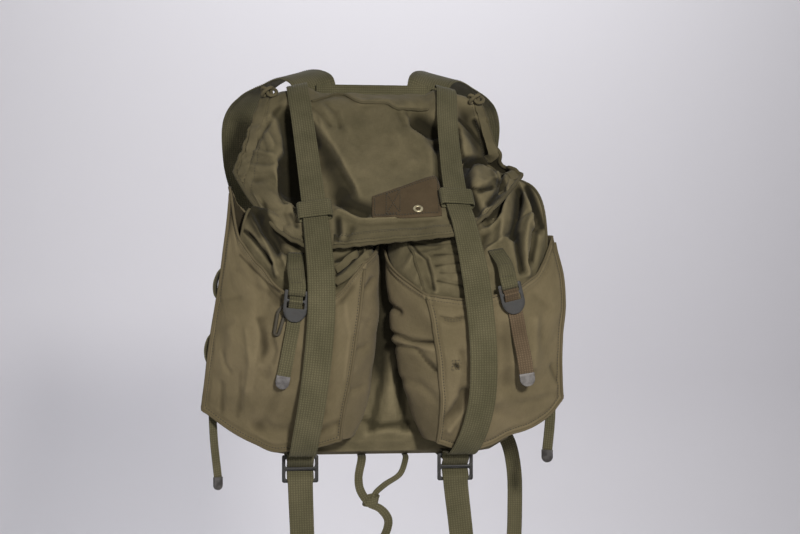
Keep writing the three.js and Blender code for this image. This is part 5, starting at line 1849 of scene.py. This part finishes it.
PLEATS = {
    "left": [[(335, 270), (346, 262), (358, 252)], [(335, 283), (348, 274), (360, 262), (371, 252)]],
    "right": [],
}
print("pocket flap creases:", {side: len(rows) for side, rows in POCKET_FLAP_CREASES.items()})

# %% [markdown]
# ## Sewing the pocket flaps
# Each flap settles with its top and hem held and is creased. A short tongue at its inner side tucks into
# the mouth, and its edges are rolled.

# %% Sewing the pocket flaps
POCKET_FLAP_POINTS = (140, 110)
FLAP_RISE_LIMIT = 7.0
POCKET_FLAP_AT_EDGE = 0.05
OFF_SACK = 1.8
OFF_BRIM = np.array([3.0, 1.5, -3.5])
TONGUE_STEPS = 12
TONGUE_SINK = np.array([0, -4.0, -2.0])
FLAP_ROLL = 3.2
PLEAT_BAND = (9.0, 2.6)

for hand, pocket in POCKETS.items():
    fit = POCKET_FLAPS[hand]
    share, v = shares(*POCKET_FLAP_COARSE)
    coarse = pocket_flap_point(hand, share, v)
    swell = np.sin(math.pi * v ** 0.8) * step_up(share, 0.55, 1.0)
    coarse = coarse + swell[..., None] * np.array(fit["puff"])
    firm = 0.3 + 0.7 * (1 - step_up(v, 0, 0.12))
    firm = np.maximum(firm, 0.8 * step_up(v, 0.88, 1))
    firm = np.maximum(firm, 1 - step_up(1 - share, 0.02, 0.16))
    settled = settle([coarse], [firm], spare=0.05, cap=4.0, bend=2.0)[0]
    fine = refine(settled, *POCKET_FLAP_POINTS)
    fine = press(
        fine, FLAP_FACE, POCKET_FLAP_CREASES[hand], POCKET_FLAP_TUCKS[hand], FLAP_RISE_LIMIT,
        ["bottom", "first", "last"], rumple(fine, seed=31, cells=(9, 8), depth=0.9), POCKET_FLAP_AT_EDGE)
    on_sack = fine[..., 2] < FLAP_TOP + 2
    sack_y = np.minimum(fine[..., 1], -SACK_FRONT - SEAM_GAP - OFF_SACK)
    fine[..., 1] = np.where(on_sack, sack_y, fine[..., 1])
    rows = fine.shape[0]
    brim = sample(pocket_grids[hand]["inner"], np.linspace(1, 0, rows), np.zeros(rows))
    brim = brim + OFF_BRIM * np.array([pocket["sign"], 1, 1])
    part = np.linspace(0, 1, TONGUE_STEPS + 1)[None, :-1, None]
    tongue = mix(brim[:, None], fine[:, :1], part) + np.sin(math.pi * part) * TONGUE_SINK
    fine = np.hstack([tongue, fine])
    item = sheet_object("pocket_flap_cloth_" + hand, [(fine, FLAP_FACE)])
    mark_darkening(item, darkening_from_lines(POCKET_FLAP_PAINTED_SHADE))
    keep(item, OLIVE, "olive_duck", "pocket_flap_" + hand)
    inner_edge = TONGUE_STEPS / (fine.shape[1] - 1)
    for name, place, start in (("inner", inner_edge, 0.1), ("outer", 1.0, fit["roll_start"])):
        line = sheet_line(fine, FLAP_FACE, (place, start), (place, 1), 40)[0]
        roll("pocket_flap_edge_%s_%s" % (hand, name), line[::2], FLAP_ROLL)
    on_pocket_flap = Seen(fine, FLAP_FACE)
    for number, path in enumerate(PLEATS[hand]):
        line, face = on_pocket_flap.line(path, lift=1.6)
        edge_band("pocket_flap_pleat_%s_%d" % (hand, number), line, face, *PLEAT_BAND, soft=5.0)
    print("pocket flap", hand, "mm:", [round(float(value)) for value in flat_size(fine)])

# %% [markdown]
# ## The closing straps
# Two wide straps run from the back seam over the flap, under a keeper, over the pockets and through
# three-bar buckles. Their ends hang free.

# %% Closing straps
STRAP_OFF_FLAP = 5.6
KEEPER_WIDTH = 41.0
KEEPER_LENGTH = 24.0
KEEPER_HEIGHT = 9.8
KEEPER_THICK = 1.8
KEEPER_STATION = 5
KEEPER_RING = [
    (0, 1), (-0.7, 1), (-0.95, 0.9), (-1, 0.3), (-1, -0.4), (-0.9, -1), (-0.5, -1.05), (0, -1.1),
    (0.5, -1.05), (0.9, -1), (1, -0.4), (1, 0.3), (0.95, 0.9), (0.7, 1), (0.02, 1)]
ON_FLAP_WIDTHS = [26, 26, 26, 26.5, 27, 28.5, 30]
HANGING_WIDTHS = [29, 28, 28]
BUCKLE_Y = -140.0
BUCKLE_Z = -452.0
BUCKLE_X = {"left": -98.0, "right": 83.0}
BUCKLE_SIZE = (42.0, 32.0)
BUCKLE_BAR = 4.0
BUCKLE_THICK = 2.4
BEND_SLACK = 1.1
BAR_REACH = 3.0
CLOSING_BELOW = {
    "left": [
        (-78, -198, -226), (-78, -204, -270), (-82, -207, -320), (-88, -201, -370), (-94, -186, -411),
        (-97, -168, -433)],
    "right": [
        (96, -198, -222), (102, -204, -270), (105, -208, -320), (104, -202, -370), (96, -187, -411),
        (87, -168, -433)],
}
CLOSING_END = {"left": (-94, -138, -575), "right": (95, -138, -572)}
CLOSING_WAVE = 0.5
CLOSING_SEEDS = {"left": 3, "right": 4}


def bar_z(bar):
    """Gives the height of a buckle's bar: 1 is the top one and -1 the lowest."""
    return BUCKLE_Z + bar * (BUCKLE_SIZE[1] - BUCKLE_BAR) / 2


def on_flap_at(x, v):
    """Gives the flap at a distance from its middle."""
    return flap_base(x / smooth(FLAP["v"], FLAP["left_x" if x < 0 else "right_x"], v), v)


def flap_station(x, v):
    """Gives a strap's place on the flap and the way it lies across."""
    level = unit(on_flap_at(x + KEEPER_WIDTH / 2, v) - on_flap_at(x - KEEPER_WIDTH / 2, v))
    return on_flap_at(x, v) + STRAP_OFF_FLAP * FLAP_OUT, level


def keeper(hand, placed):
    """Loops a keeper round a closing strap."""
    middle, level = placed[KEEPER_STATION]
    along = unit(placed[KEEPER_STATION + 1][0] - placed[KEEPER_STATION - 1][0])
    level = unit(level - (level @ along) * along)
    off = np.cross(along, level)
    off = off * np.sign(off @ FLAP_OUT)
    half = KEEPER_WIDTH / 2 - 1
    rise = KEEPER_HEIGHT / 2 - 1
    ring = [middle + half * a * level - rise * b * off for a, b in KEEPER_RING]
    strap("keeper_webbing_" + hand, "keeper_" + hand, ring, KEEPER_LENGTH, KEEPER_THICK, along, per_span=5)


weave_off = BUCKLE_THICK / 2 + SEAM_GAP + WEBBING / 2
loop_off = weave_off + WEBBING + 2 * SEAM_GAP + 2 * BEND_SLACK
weave_off_slack = weave_off + BEND_SLACK
under_bar = BUCKLE_BAR / 2 + WEBBING / 2 + BEND_SLACK
sewn_z = SACK_BOTTOM - SEAM_GAP - WEBBING / 2
# How the strap weaves through the buckle: forward of it and at a height
THROUGH = [
    (loop_off, bar_z(1) + BAR_REACH), (loop_off, bar_z(1) - BAR_REACH),
    (-weave_off_slack, bar_z(0) + BAR_REACH / 2), (-weave_off_slack, bar_z(0) - BAR_REACH / 2),
    (weave_off_slack, bar_z(-1) + BAR_REACH), (weave_off_slack, bar_z(-1) - BAR_REACH),
]
# How the anchor comes from under the sack and loops over the top bar
ANCHOR = [
    (-62, sewn_z), (-100, sewn_z), (BUCKLE_Y + 9, bar_z(1) - under_bar), (BUCKLE_Y, bar_z(1) - under_bar),
    (BUCKLE_Y - weave_off_slack, bar_z(1)), (BUCKLE_Y, bar_z(1) + under_bar),
    (BUCKLE_Y + 9, bar_z(1) + under_bar), (BUCKLE_Y + 18, bar_z(1) + under_bar),
]
for hand, x in BUCKLE_X.items():
    table = CLOSING_ON_FLAP[hand]
    placed = [flap_station(at, v) for v, at in zip(table["v"], table["x"])]
    end = CLOSING_END[hand]
    low = CLOSING_BELOW[hand] + [(x, BUCKLE_Y - forward, z) for forward, z in THROUGH]
    low += [((x + end[0]) / 2, BUCKLE_Y, (bar_z(-1) + end[2]) / 2), end]
    route = [middle for middle, _ in placed] + low
    across = [level for _, level in placed] + [(1, 0, 0)] * len(low)
    widths = ON_FLAP_WIDTHS + [WIDE_WEBBING] * (len(low) - len(HANGING_WIDTHS)) + HANGING_WIDTHS
    strap(
        "closing_webbing_" + hand, "closing_strap_" + hand, route, widths, WEBBING, across,
        per_span=10, flatness=9.0, wave=CLOSING_WAVE, seed=CLOSING_SEEDS[hand])
    anchor = [(x, y, z) for y, z in ANCHOR]
    strap("anchor_webbing_" + hand, "buckle_anchor_" + hand, anchor, WIDE_WEBBING, flatness=9.0)
    keeper(hand, placed)

# %% [markdown]
# ## Stamped steel
# A buckle starts as a flat grid, loses the faces of its slots, is drawn to thickness and bevelled.
# Pocket buckles run on into a half-round plate, and strap tips end the same way.

# %% Steel helpers
NEAR_EDGE = 1e-5
PLATE_END = (82, 7)
TIP_END = (80, 6)
STEEL_WELD = 0.01
SLOT_MATCH = 0.1
CORNER_BEND = 0.7
EDGE_BEND = 0.9
EDGE_ROUND = 0.28


def round_end(bm, lowest, drop, degrees, steps):
    """Draws the lowest edge of a flat shape out into a half-round end."""
    edges = [
        edge for edge in bm.edges if all(abs(vert.co.y - lowest) < NEAR_EDGE for vert in edge.verts)]
    for k in range(1, steps + 1):
        made = bmesh.ops.extrude_edge_only(bm, edges=edges)["geom"]
        verts = verts_in(made)
        turn = math.radians(degrees * k / steps)
        before = math.radians(degrees * (k - 1) / steps)
        for vert in verts:
            vert.co.x *= math.cos(turn) / math.cos(before)
            vert.co.y = lowest - drop * math.sin(turn)
        fresh = [item for item in made if isinstance(item, bmesh.types.BMEdge)]
        edges = [edge for edge in fresh if all(vert in verts for vert in edge.verts)]


def thicken(bm, thick):
    """Draws a flat shape out to a thickness."""
    made = bmesh.ops.extrude_face_region(bm, geom=bm.faces[:])["geom"]
    bmesh.ops.translate(bm, vec=(0, 0, thick), verts=verts_in(made))
    bmesh.ops.recalc_face_normals(bm, faces=bm.faces[:])


def sharp(bm, angle):
    """Picks the edges that bend by more than an angle."""
    return [edge for edge in bm.edges if len(edge.link_faces) == 2 and edge.calc_face_angle() > angle]


def bevel(bm, edges, offset, segments):
    """Rounds some edges."""
    bmesh.ops.bevel(
        bm, geom=edges, offset=offset, segments=segments, profile=0.5, affect="EDGES", material=-1,
        clamp_overlap=True)


def stand_up(bm, thick, place):
    """Centres a flat shape on its thickness and puts it in its place."""
    bmesh.ops.recalc_face_normals(bm, faces=bm.faces[:])
    bmesh.ops.transform(bm, matrix=place @ Matrix.Translation((0, 0, -thick / 2)), verts=bm.verts[:])


def in_slot(face, slots):
    """Says whether a face lies in a slot of a buckle."""
    middle = face.calc_center_median()
    return any(abs(middle.y - slot) < SLOT_MATCH and abs(middle.x) < SLOT_MATCH for slot in slots)


def stamped(name, node, across, down, slots, thick, corner, place, plate=0):
    """Stamps a buckle with slots and, where wanted, a half-round plate below."""
    bm = bmesh.new()
    bmesh.ops.create_grid(bm, x_segments=len(across) - 1, y_segments=len(down) - 1, size=0.5)
    for vert in bm.verts:
        i = round((vert.co.x + 0.5) * (len(across) - 1))
        j = round((vert.co.y + 0.5) * (len(down) - 1))
        vert.co = Vector((across[i], down[j], 0))
    bmesh.ops.delete(bm, geom=[face for face in bm.faces if in_slot(face, slots)], context="FACES")
    if plate:
        round_end(bm, min(down), plate, *PLATE_END)
    thicken(bm, thick)
    upright = [
        edge for edge in sharp(bm, CORNER_BEND)
        if abs(edge.verts[0].co.z - edge.verts[1].co.z) > thick / 2]
    bevel(bm, upright, corner, segments=3)
    bevel(bm, sharp(bm, EDGE_BEND), thick * EDGE_ROUND, segments=2)
    bmesh.ops.remove_doubles(bm, verts=bm.verts[:], dist=STEEL_WELD)
    stand_up(bm, thick, place @ Matrix.Scale(MM, 4) @ Matrix.Rotation(math.pi / 2, 4, "X"))
    print(name, "has", len(bm.verts), "points")
    keep(to_object(bm, name), STEEL, "dark_steel", node)


TIP_LENGTH = 15.0
TIP_THICK = 3.2
TIP_OVER = 0.6
TIP_ROUND = 0.9


def tip(name, node, strap_width, top, down, lean_across):
    """Presses a steel tip with a round end on a strap."""
    bm = bmesh.new()
    width = strap_width + TIP_OVER
    straight = TIP_LENGTH - width / 2
    bmesh.ops.create_grid(bm, x_segments=6, y_segments=2, size=0.5)
    for vert in bm.verts:
        vert.co = Vector((vert.co.x * width, (vert.co.y - 0.5) * straight, 0))
    round_end(bm, -straight, width / 2, *TIP_END)
    thicken(bm, TIP_THICK)
    bevel(bm, sharp(bm, EDGE_BEND), TIP_ROUND, segments=3)
    up = unit(-np.asarray(down, float))
    lean = np.asarray(lean_across, float)
    side = unit(lean - (lean @ up) * up)
    turn = Matrix((side, up, np.cross(side, up))).transposed().to_4x4()
    stand_up(bm, TIP_THICK, Matrix.Translation(Vector(np.asarray(top) * MM)) @ turn @ Matrix.Scale(MM, 4))
    keep(to_object(bm, name), TIP_STEEL, "dark_steel", node)


# %% [markdown]
# ## The bottom buckles
# Each closing strap runs through a plain frame with three bars, one across its middle. Both frames are
# the same.

# %% Bottom buckles
BUCKLE_CORNER = 2.2
half_wide = BUCKLE_SIZE[0] / 2
half_high = BUCKLE_SIZE[1] / 2
half_bar = BUCKLE_BAR / 2
frame_across = [-half_wide, -half_wide + BUCKLE_BAR, half_wide - BUCKLE_BAR, half_wide]
frame_down = [-half_high, -half_high + BUCKLE_BAR, -half_bar, half_bar, half_high - BUCKLE_BAR, half_high]
slot_middle = (half_high - half_bar) / 2
for hand, x in BUCKLE_X.items():
    spot = Matrix.Translation(Vector((x, BUCKLE_Y, BUCKLE_Z)) * MM)
    stamped(
        "bottom_buckle_steel_" + hand, "bottom_buckle_" + hand, frame_across, frame_down,
        [-slot_middle, slot_middle], BUCKLE_THICK, BUCKLE_CORNER, spot)

# %% [markdown]
# ## Pocket fastenings
# A tab sewn in a box on the pocket flap holds a buckle. The pocket's strap runs up through the lower
# slot, over the middle bar and down behind the plate to a steel tip. The right one is a brown
# replacement.

# %% Pocket fastenings
FASTENING = {
    "left": dict(
        x=-107, z=-266, lean=-0.1, tab_x=-104, end_x=-120, end_z=-342, off=3, width=15.0,
        look=GREEN_WEBBING, slot="green_webbing"),
    "right": dict(
        x=142, z=-258, lean=0.24, tab_x=128, end_x=156, end_z=-341, off=15, width=17.0,
        look=BROWN_WEBBING, slot="brown_webbing"),
}
TAB_PLACE = 0.62
TAB_LIFT = 1.4
PLATE_WIDTH = 27.0
PLATE = 15.0
PLATE_SLOT = 7.0
PLATE_BAR = 3.4
PLATE_SIDE = 3.6
PLATE_THICK = 2.4
PLATE_CORNER = 1.2
PLATE_OFF = 6.4
PLATE_LIP = 0.5
TAIL_OFF = 4.0
TAIL_THICK = 1.8
TIP_GRIP = 1.2
PLATE_PROBES = (12, 0, -12, -24)
TAB_SEARCH = 400
TAB_SLACK = np.array([0, -4, 3])
TAB_FACE = np.array([0, -1, 0.3])
TAIL_SHARES = (0.35, 0.7, 1)
# The box of stitches on a tab: half its width in strap widths, its length and its cross rows by point
BOX_HALF = 0.4
BOX_SPAN = slice(1, 14)
BOX_CROSSES = (2, 8, 14)
BOX_POINTS = 9

plate_half = PLATE_WIDTH / 2
plate_across = [-plate_half, -plate_half + PLATE_SIDE, plate_half - PLATE_SIDE, plate_half]
plate_down = [
    0, PLATE_LIP, PLATE_SLOT + PLATE_LIP, PLATE_SLOT + PLATE_BAR, 2 * PLATE_SLOT + PLATE_BAR,
    2 * PLATE_SLOT + 2 * PLATE_BAR]
plate_slots = [PLATE_LIP + PLATE_SLOT / 2, 1.5 * PLATE_SLOT + PLATE_BAR]
top_bar = 2 * PLATE_SLOT + 1.5 * PLATE_BAR
middle_bar = PLATE_SLOT + PLATE_LIP + (PLATE_BAR - PLATE_LIP) / 2
wrap = PLATE_THICK / 2 + SEAM_GAP + WEBBING / 2
# How the tab folds over the top bar and how the tail weaves down: up from the buckle's middle, forward
TAB_FOLD = [
    (top_bar + PLATE_BAR / 2 + 4, wrap + 0.6), (top_bar, wrap + 1), (top_bar - PLATE_BAR / 2 - 2.1, 0),
    (top_bar, -wrap - 1), (top_bar + 5, -wrap - 1),
]
TAIL_WEAVE = [
    (middle_bar + 6.5, -wrap - 0.4), (middle_bar + 2.6, 0), (middle_bar, wrap + 0.5), (middle_bar - 3.4, 0.2),
    (0, -wrap - 0.3), (-PLATE / 2, -wrap), (-PLATE - 3, -wrap),
]


def pocket_front(pocket, x, z):
    """Finds how far forward a pocket's front is."""
    seams = pocket["seams"]
    inner = smooth(seams["z"], seams["inner"], z)
    outer = smooth(seams["z"], seams["outer"], z)
    share = (pocket["sign"] * x - inner) / (outer - inner)
    hem = edge_of(pocket, "hem", share)
    bottom = edge_of(pocket, "bottom", share)
    return float(pocket_panel(pocket, share, np.clip((z - hem) / (bottom - hem), 0, 1))[1])


def on_buckle(fit, y, up, forward):
    """Gives a place up from a buckle's middle and forward of it."""
    lean = fit["lean"]
    return np.array([fit["x"] - math.sin(lean) * up, y - forward, fit["z"] + math.cos(lean) * up])


def boxed(line, side, face):
    """Gives the rows of a box of stitches on a tab."""
    out = face * np.where((face @ TAB_FACE)[:, None] > 0, 1, -1)
    lift = WEBBING / 2 + 0.1
    rows = []
    for off in (-BOX_HALF, BOX_HALF):
        row = line + off * NARROW_WEBBING * side + lift * out
        rows.append((row[BOX_SPAN], out[BOX_SPAN]))
    off = np.linspace(-BOX_HALF, BOX_HALF, BOX_POINTS)[:, None] * NARROW_WEBBING
    for place in BOX_CROSSES:
        row = off * side[place] + line[place]
        rows.append((row + lift * out[place], np.tile(out[place], (BOX_POINTS, 1))))
    return rows


tab_rows = []
for hand, fit in FASTENING.items():
    pocket = POCKETS[hand]
    plate_y = min(pocket_front(pocket, fit["x"], fit["z"] + up) for up in PLATE_PROBES) - PLATE_OFF
    spot = Matrix.Translation(Vector((fit["x"], plate_y, fit["z"])) * MM)
    spot = spot @ Matrix.Rotation(-fit["lean"], 4, "Y")
    stamped(
        "pocket_buckle_steel_" + hand, "pocket_buckle_" + hand, plate_across, plate_down, plate_slots,
        PLATE_THICK, PLATE_CORNER, spot, PLATE)
    level = np.array([math.cos(fit["lean"]), 0, math.sin(fit["lean"])])
    place = np.full(TAB_SEARCH, TAB_PLACE)
    row = pocket_flap_point(hand, np.linspace(0, 1, TAB_SEARCH), place, TAB_LIFT)
    sewn = row[np.argmin(np.abs(row[:, 0] - fit["tab_x"]))]
    bend = (sewn + np.array([fit["x"], plate_y, on_buckle(fit, plate_y, top_bar, 0)[2]])) / 2
    bend = bend + TAB_SLACK
    tab = [sewn, bend] + [on_buckle(fit, plate_y, *place) for place in TAB_FOLD]
    tab_across = [(1, 0, 0), (1, 0, 0)] + [level] * len(TAB_FOLD)
    sewn_tab = strap(
        "tab_webbing_" + hand, "pocket_tab_" + hand, tab, NARROW_WEBBING, across=tab_across)
    tab_rows += boxed(*sewn_tab)
    tail = [on_buckle(fit, plate_y, *place) for place in TAIL_WEAVE]
    start = tail[-1]
    for t in TAIL_SHARES:
        x = mix(start[0], fit["end_x"], t)
        z = mix(start[2], fit["end_z"], t)
        tail.append(np.array([x, pocket_front(pocket, x, z) - TAIL_OFF - fit["off"] * t, z]))
    strap(
        "tail_webbing_" + hand, "pocket_tail_" + hand, tail, fit["width"], TAIL_THICK, level,
        look=fit["look"], slot=fit["slot"])
    hang = unit(tail[-1] - tail[-2])
    tip(
        "tail_tip_steel_" + hand, "pocket_tip_" + hand, fit["width"], tail[-1] - hang * TIP_GRIP, hang,
        (1, 0, 0))
stitches("tab_stitching", tab_rows, "green_webbing")

# %% [markdown]
# ## Mending
# A loop of cord has come loose on the left pocket, and the right one has been darned and sewn up by
# hand. All of it follows lines of the picture.

# %% Mending
LOOSE_LOOP = [(291, 303), (284, 306), (279, 312), (277, 324), (275, 335), (279, 336), (282, 326), (285, 314)]
LOOSE_CORD = 3.8
DARN_ROWS = [(361, 0), (364, 1), (367, 0), (370, 1)]
REPAIR_ROW = [(444, 318), (453, 320), (463, 318)]
loop_line = Seen(pocket_grids["left"]["front"], FRONT).line(LOOSE_LOOP, lift=2.6)[0]
keep(cord("loose_loop_cord", loop_line[::2], LOOSE_CORD, per_span=3), THREAD, "green_webbing")
on_right = Seen(pocket_grids["right"]["front"], FRONT)
rows = [on_right.line([(451 + shift, down), (461 + shift, down - 1)], 0.4) for down, shift in DARN_ROWS]
rows += [on_right.line([(453 + 3 * k, 359), (452 + 3 * k, 371)], 0.5) for k in range(3)]
rows += [on_right.line([(across, down + lower) for across, down in REPAIR_ROW], 0.4) for lower in (0, 2)]
stitches("mending_stitching", rows, "faded_duck")

# %% [markdown]
# ## Yoke and shoulder straps
# The shoulder straps leave a short yoke, bend over, narrow and come back to the sack's lower corners. A
# spare end hangs on the right.

# %% Shoulder straps
SHOULDER = columns("x y z across_x across_y across_z width", """
    68 4.6 -52 1 0 0 46
    68 4.8 -14 1 0 0 48
    72 10 10 1 0.1 -0.1 52
    88 36 25 0.94 -0.3 -0.25 56
    116 68 20 0.9 -0.4 -0.35 56
    145 98 2 0.9 -0.4 -0.35 56
    160 128 -30 0.95 -0.3 0 52
    160 150 -84 1 -0.1 0.1 46
    152 154 -145 0.9 -0.3 0.4 32
    152 136 -210 0.6 0.4 0.7 26
    158 98 -270 0.3 0.5 0.8 26
    162 55 -322 0.4 0.4 0.8 26
    158 20 -358 0.8 0.2 0.4 26
    146 2.4 -386 1 0 0 26
    142 1.5 -412 1 0 0 26
""")
SHOULDER_THICK = 2.6
SHOULDER_WAVE = 0.6
SHOULDER_SEEDS = {"left": 7, "right": 8}
SHOULDER_SEWN = slice(2, 90)
SHOULDER_ROW = 0.42
YOKE_HALF = 70.0
YOKE_BOTTOM = -16.0
YOKE_TOP = 9.0
YOKE_THICK = 2.4
YOKE_WAVE = 0.3
YOKE_SEED = 5
SHOULDER_TAIL = [
    (146, 4, -402), (158, 6, -418), (174, 8, -440), (182, 8, -475), (183, 7, -530), (181, 6, -582)]

strap_rows = []
for hand, pocket in POCKETS.items():
    sign = pocket["sign"]
    route = np.column_stack([sign * SHOULDER["x"], SHOULDER["y"], SHOULDER["z"]])
    across = np.column_stack([SHOULDER["across_x"], sign * SHOULDER["across_y"], sign * SHOULDER["across_z"]])
    line, side, face = strap(
        "shoulder_webbing_" + hand, "shoulder_strap_" + hand, route, SHOULDER["width"], SHOULDER_THICK,
        across, per_span=10, flatness=10.0, wave=SHOULDER_WAVE, seed=SHOULDER_SEEDS[hand])
    last = len(route) - 1
    widths = np.interp(np.linspace(0, last, len(line)), np.arange(last + 1), SHOULDER["width"])
    for off in (-SHOULDER_ROW, SHOULDER_ROW):
        for turn in (-1, 1):
            row = line + off * widths[:, None] * side + turn * (SHOULDER_THICK / 2 + 0.05) * face
            strap_rows.append((row[SHOULDER_SEWN], turn * face[SHOULDER_SEWN]))
strap("shoulder_tail_webbing", "shoulder_tail_right", SHOULDER_TAIL, NARROW_WEBBING, per_span=10)
middle = (YOKE_TOP + YOKE_BOTTOM) / 2
yoke_route = [(x, SEAM_GAP + YOKE_THICK / 2, middle) for x in np.linspace(-YOKE_HALF, YOKE_HALF, 9)]
strap(
    "yoke_webbing", "yoke_band", yoke_route, YOKE_TOP - YOKE_BOTTOM, YOKE_THICK, (0, 0, 1),
    per_span=6, flatness=9.0, wave=YOKE_WAVE, seed=YOKE_SEED)
stitches("shoulder_stitching", strap_rows, "green_webbing")

# %% [markdown]
# ## Side straps and loops
# A short tipped strap hangs from each outer gusset, and the left one has two flat loops. All are placed
# by a height and a depth on the gusset.

# %% Side straps
SIDE_TAILS = {
    "left": dict(top=-368, end=-462, drift=6, width=11, place=0.36),
    "right": dict(top=-360, end=-436, drift=-4, width=13, place=0.36),
}
SEWN_LENGTH = 14
SEWN_OFF = 1.7
HANGING_OFF = 5.7
TAIL_SWAY = 0.35
SIDE_LOOPS = {"upper": -238, "lower": -312}
GUSSET_STEP = 0.15
LOOP_PLACE = 0.16
LOOP_OFF = 1.1
LOOP_RISE = 5.5
LOOP_LENGTH = 33.0
LOOP_WIDTH = 16


def gusset_point(pocket, z, depth):
    """Finds the outer gusset at a height and a depth."""
    hem = pocket["hem"]["z"][-1]
    bottom = pocket["bottom"]["z"][-1]
    return pocket_gusset(pocket, np.array(1.0), np.array((z - hem) / (bottom - hem)), depth, False)


def on_gusset(pocket, z, depth, off):
    """Gives a place off the outer gusset and the way a strap lies across it."""
    across = gusset_point(pocket, z, depth + GUSSET_STEP) - gusset_point(pocket, z, depth - GUSSET_STEP)
    across[2] = 0
    across = unit(across)
    out = np.array([pocket["sign"] * abs(across[1]), -pocket["sign"] * np.sign(across[1]) * across[0], 0])
    point = gusset_point(pocket, z, depth) + off * out
    point[2] = z
    return point, across


for hand, tail in SIDE_TAILS.items():
    pocket = POCKETS[hand]
    top = on_gusset(pocket, tail["top"] + SEWN_LENGTH, tail["place"], SEWN_OFF)[0]
    low, across = on_gusset(pocket, tail["top"], tail["place"], HANGING_OFF)
    sway = tail["drift"] * TAIL_SWAY + pocket["sign"]
    bend = low + np.array([sway, 0, (tail["end"] - tail["top"]) / 2])
    end = np.array([low[0] + tail["drift"], low[1], tail["end"]])
    strap(
        "side_tail_webbing_" + hand, "side_tail_" + hand, [top, low, bend, end], tail["width"],
        across=across, per_span=12)
    tip(
        "side_tip_steel_" + hand, "side_tip_" + hand, tail["width"], end + np.array([0, 0, 1.0]),
        (0, 0, -1), across)
for name, z in SIDE_LOOPS.items():
    stations = []
    for t in np.linspace(0, 1, 9):
        off = LOOP_OFF + LOOP_RISE * math.sin(math.pi * t) ** 0.7
        stations.append(on_gusset(POCKETS["left"], z + LOOP_LENGTH * (0.5 - t), LOOP_PLACE, off)[0])
    across = on_gusset(POCKETS["left"], z, LOOP_PLACE, 0)[1]
    strap("side_loop_webbing_" + name, "side_loop_" + name, stations, LOOP_WIDTH, across=across, per_span=6)

# %% [markdown]
# ## Ties and knots
# A tape is tied under the bottom, with a flat turn round its knot. The corner knots of the flap are a
# three-lobed curve that runs twice round.

# %% Ties and knots
TIES = {
    "tie_tape": (10, [
        (-22, -84, -442.1), (-24, -112, -446), (-29, -126, -466), (-27, -130, -480), (-17, -135, -494),
        (-4, -136, -501), (5, -134, -514), (1, -132, -532), (-12, -131, -546)]),
    "tie_loop": (7, [
        (30, -84, -442.1), (28, -112, -446), (20, -124, -462), (2, -125, -474), (-9, -125, -484),
        (-12, -127, -492)]),
}
TIE_THICK = 1.4
TURN_MIDDLE = np.array([-15.0, -131.0, -491.0])
TURN_SIZE = np.array([8.5, 6.0, 2.5])
TURN_TILT = 0.6
TURN_WIDTH = 9.0
TURN_THICK = 1.6
KNOT_RADIUS = 8.0
KNOT_SPREAD = 1.25
KNOT_HEIGHT = 0.62
KNOT_RISE = 8.5
KNOT_CORD = 4.2
KNOT_SIDE = 0.93
KNOT_PLACE = {"left": 0.07, "right": 0.12}

for name, (width, route) in TIES.items():
    across = [(1, 0.15 * (i % 3), 0) for i in range(len(route))]
    strap(name + "_webbing", name, route, width, TIE_THICK, across, per_span=10, flatness=7.0)
turn = np.linspace(0, 2 * math.pi - 0.06, 16)
ring = np.column_stack([np.cos(turn), np.sin(turn), np.sin(turn + TURN_TILT)]) * TURN_SIZE + TURN_MIDDLE
strap("tie_knot_webbing", None, ring, TURN_WIDTH, TURN_THICK, (0.25, 0, 1), per_span=5, flatness=6.0)
turn = np.linspace(0, 2 * math.pi, 34)
reach = KNOT_RADIUS * (2 + np.cos(3 * turn)) / 3 * KNOT_SPREAD
knot = np.column_stack([
    reach * np.cos(2 * turn), reach * np.sin(2 * turn), KNOT_RADIUS * np.sin(3 * turn) * KNOT_HEIGHT])
for hand, pocket in POCKETS.items():
    seat = flap_base(pocket["sign"] * KNOT_SIDE, KNOT_PLACE[hand]) + np.array([0, 0, KNOT_RISE])
    item = cord("knot_cord_" + hand, seat + knot, KNOT_CORD, per_span=5)
    keep(item, OLIVE, "olive_duck", "corner_knot_" + hand)
print("knots tied")

# %% [markdown]
# ## Measuring the dressed size
# The dressed pack should stay in the measured box, but for a little cloth. The dressed box's size is printed
# at the end.

# %% Finish
low, high = [list(corner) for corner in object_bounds()]
print("dressed box, m:", [round(b - a, 3) for a, b in zip(low, high)])
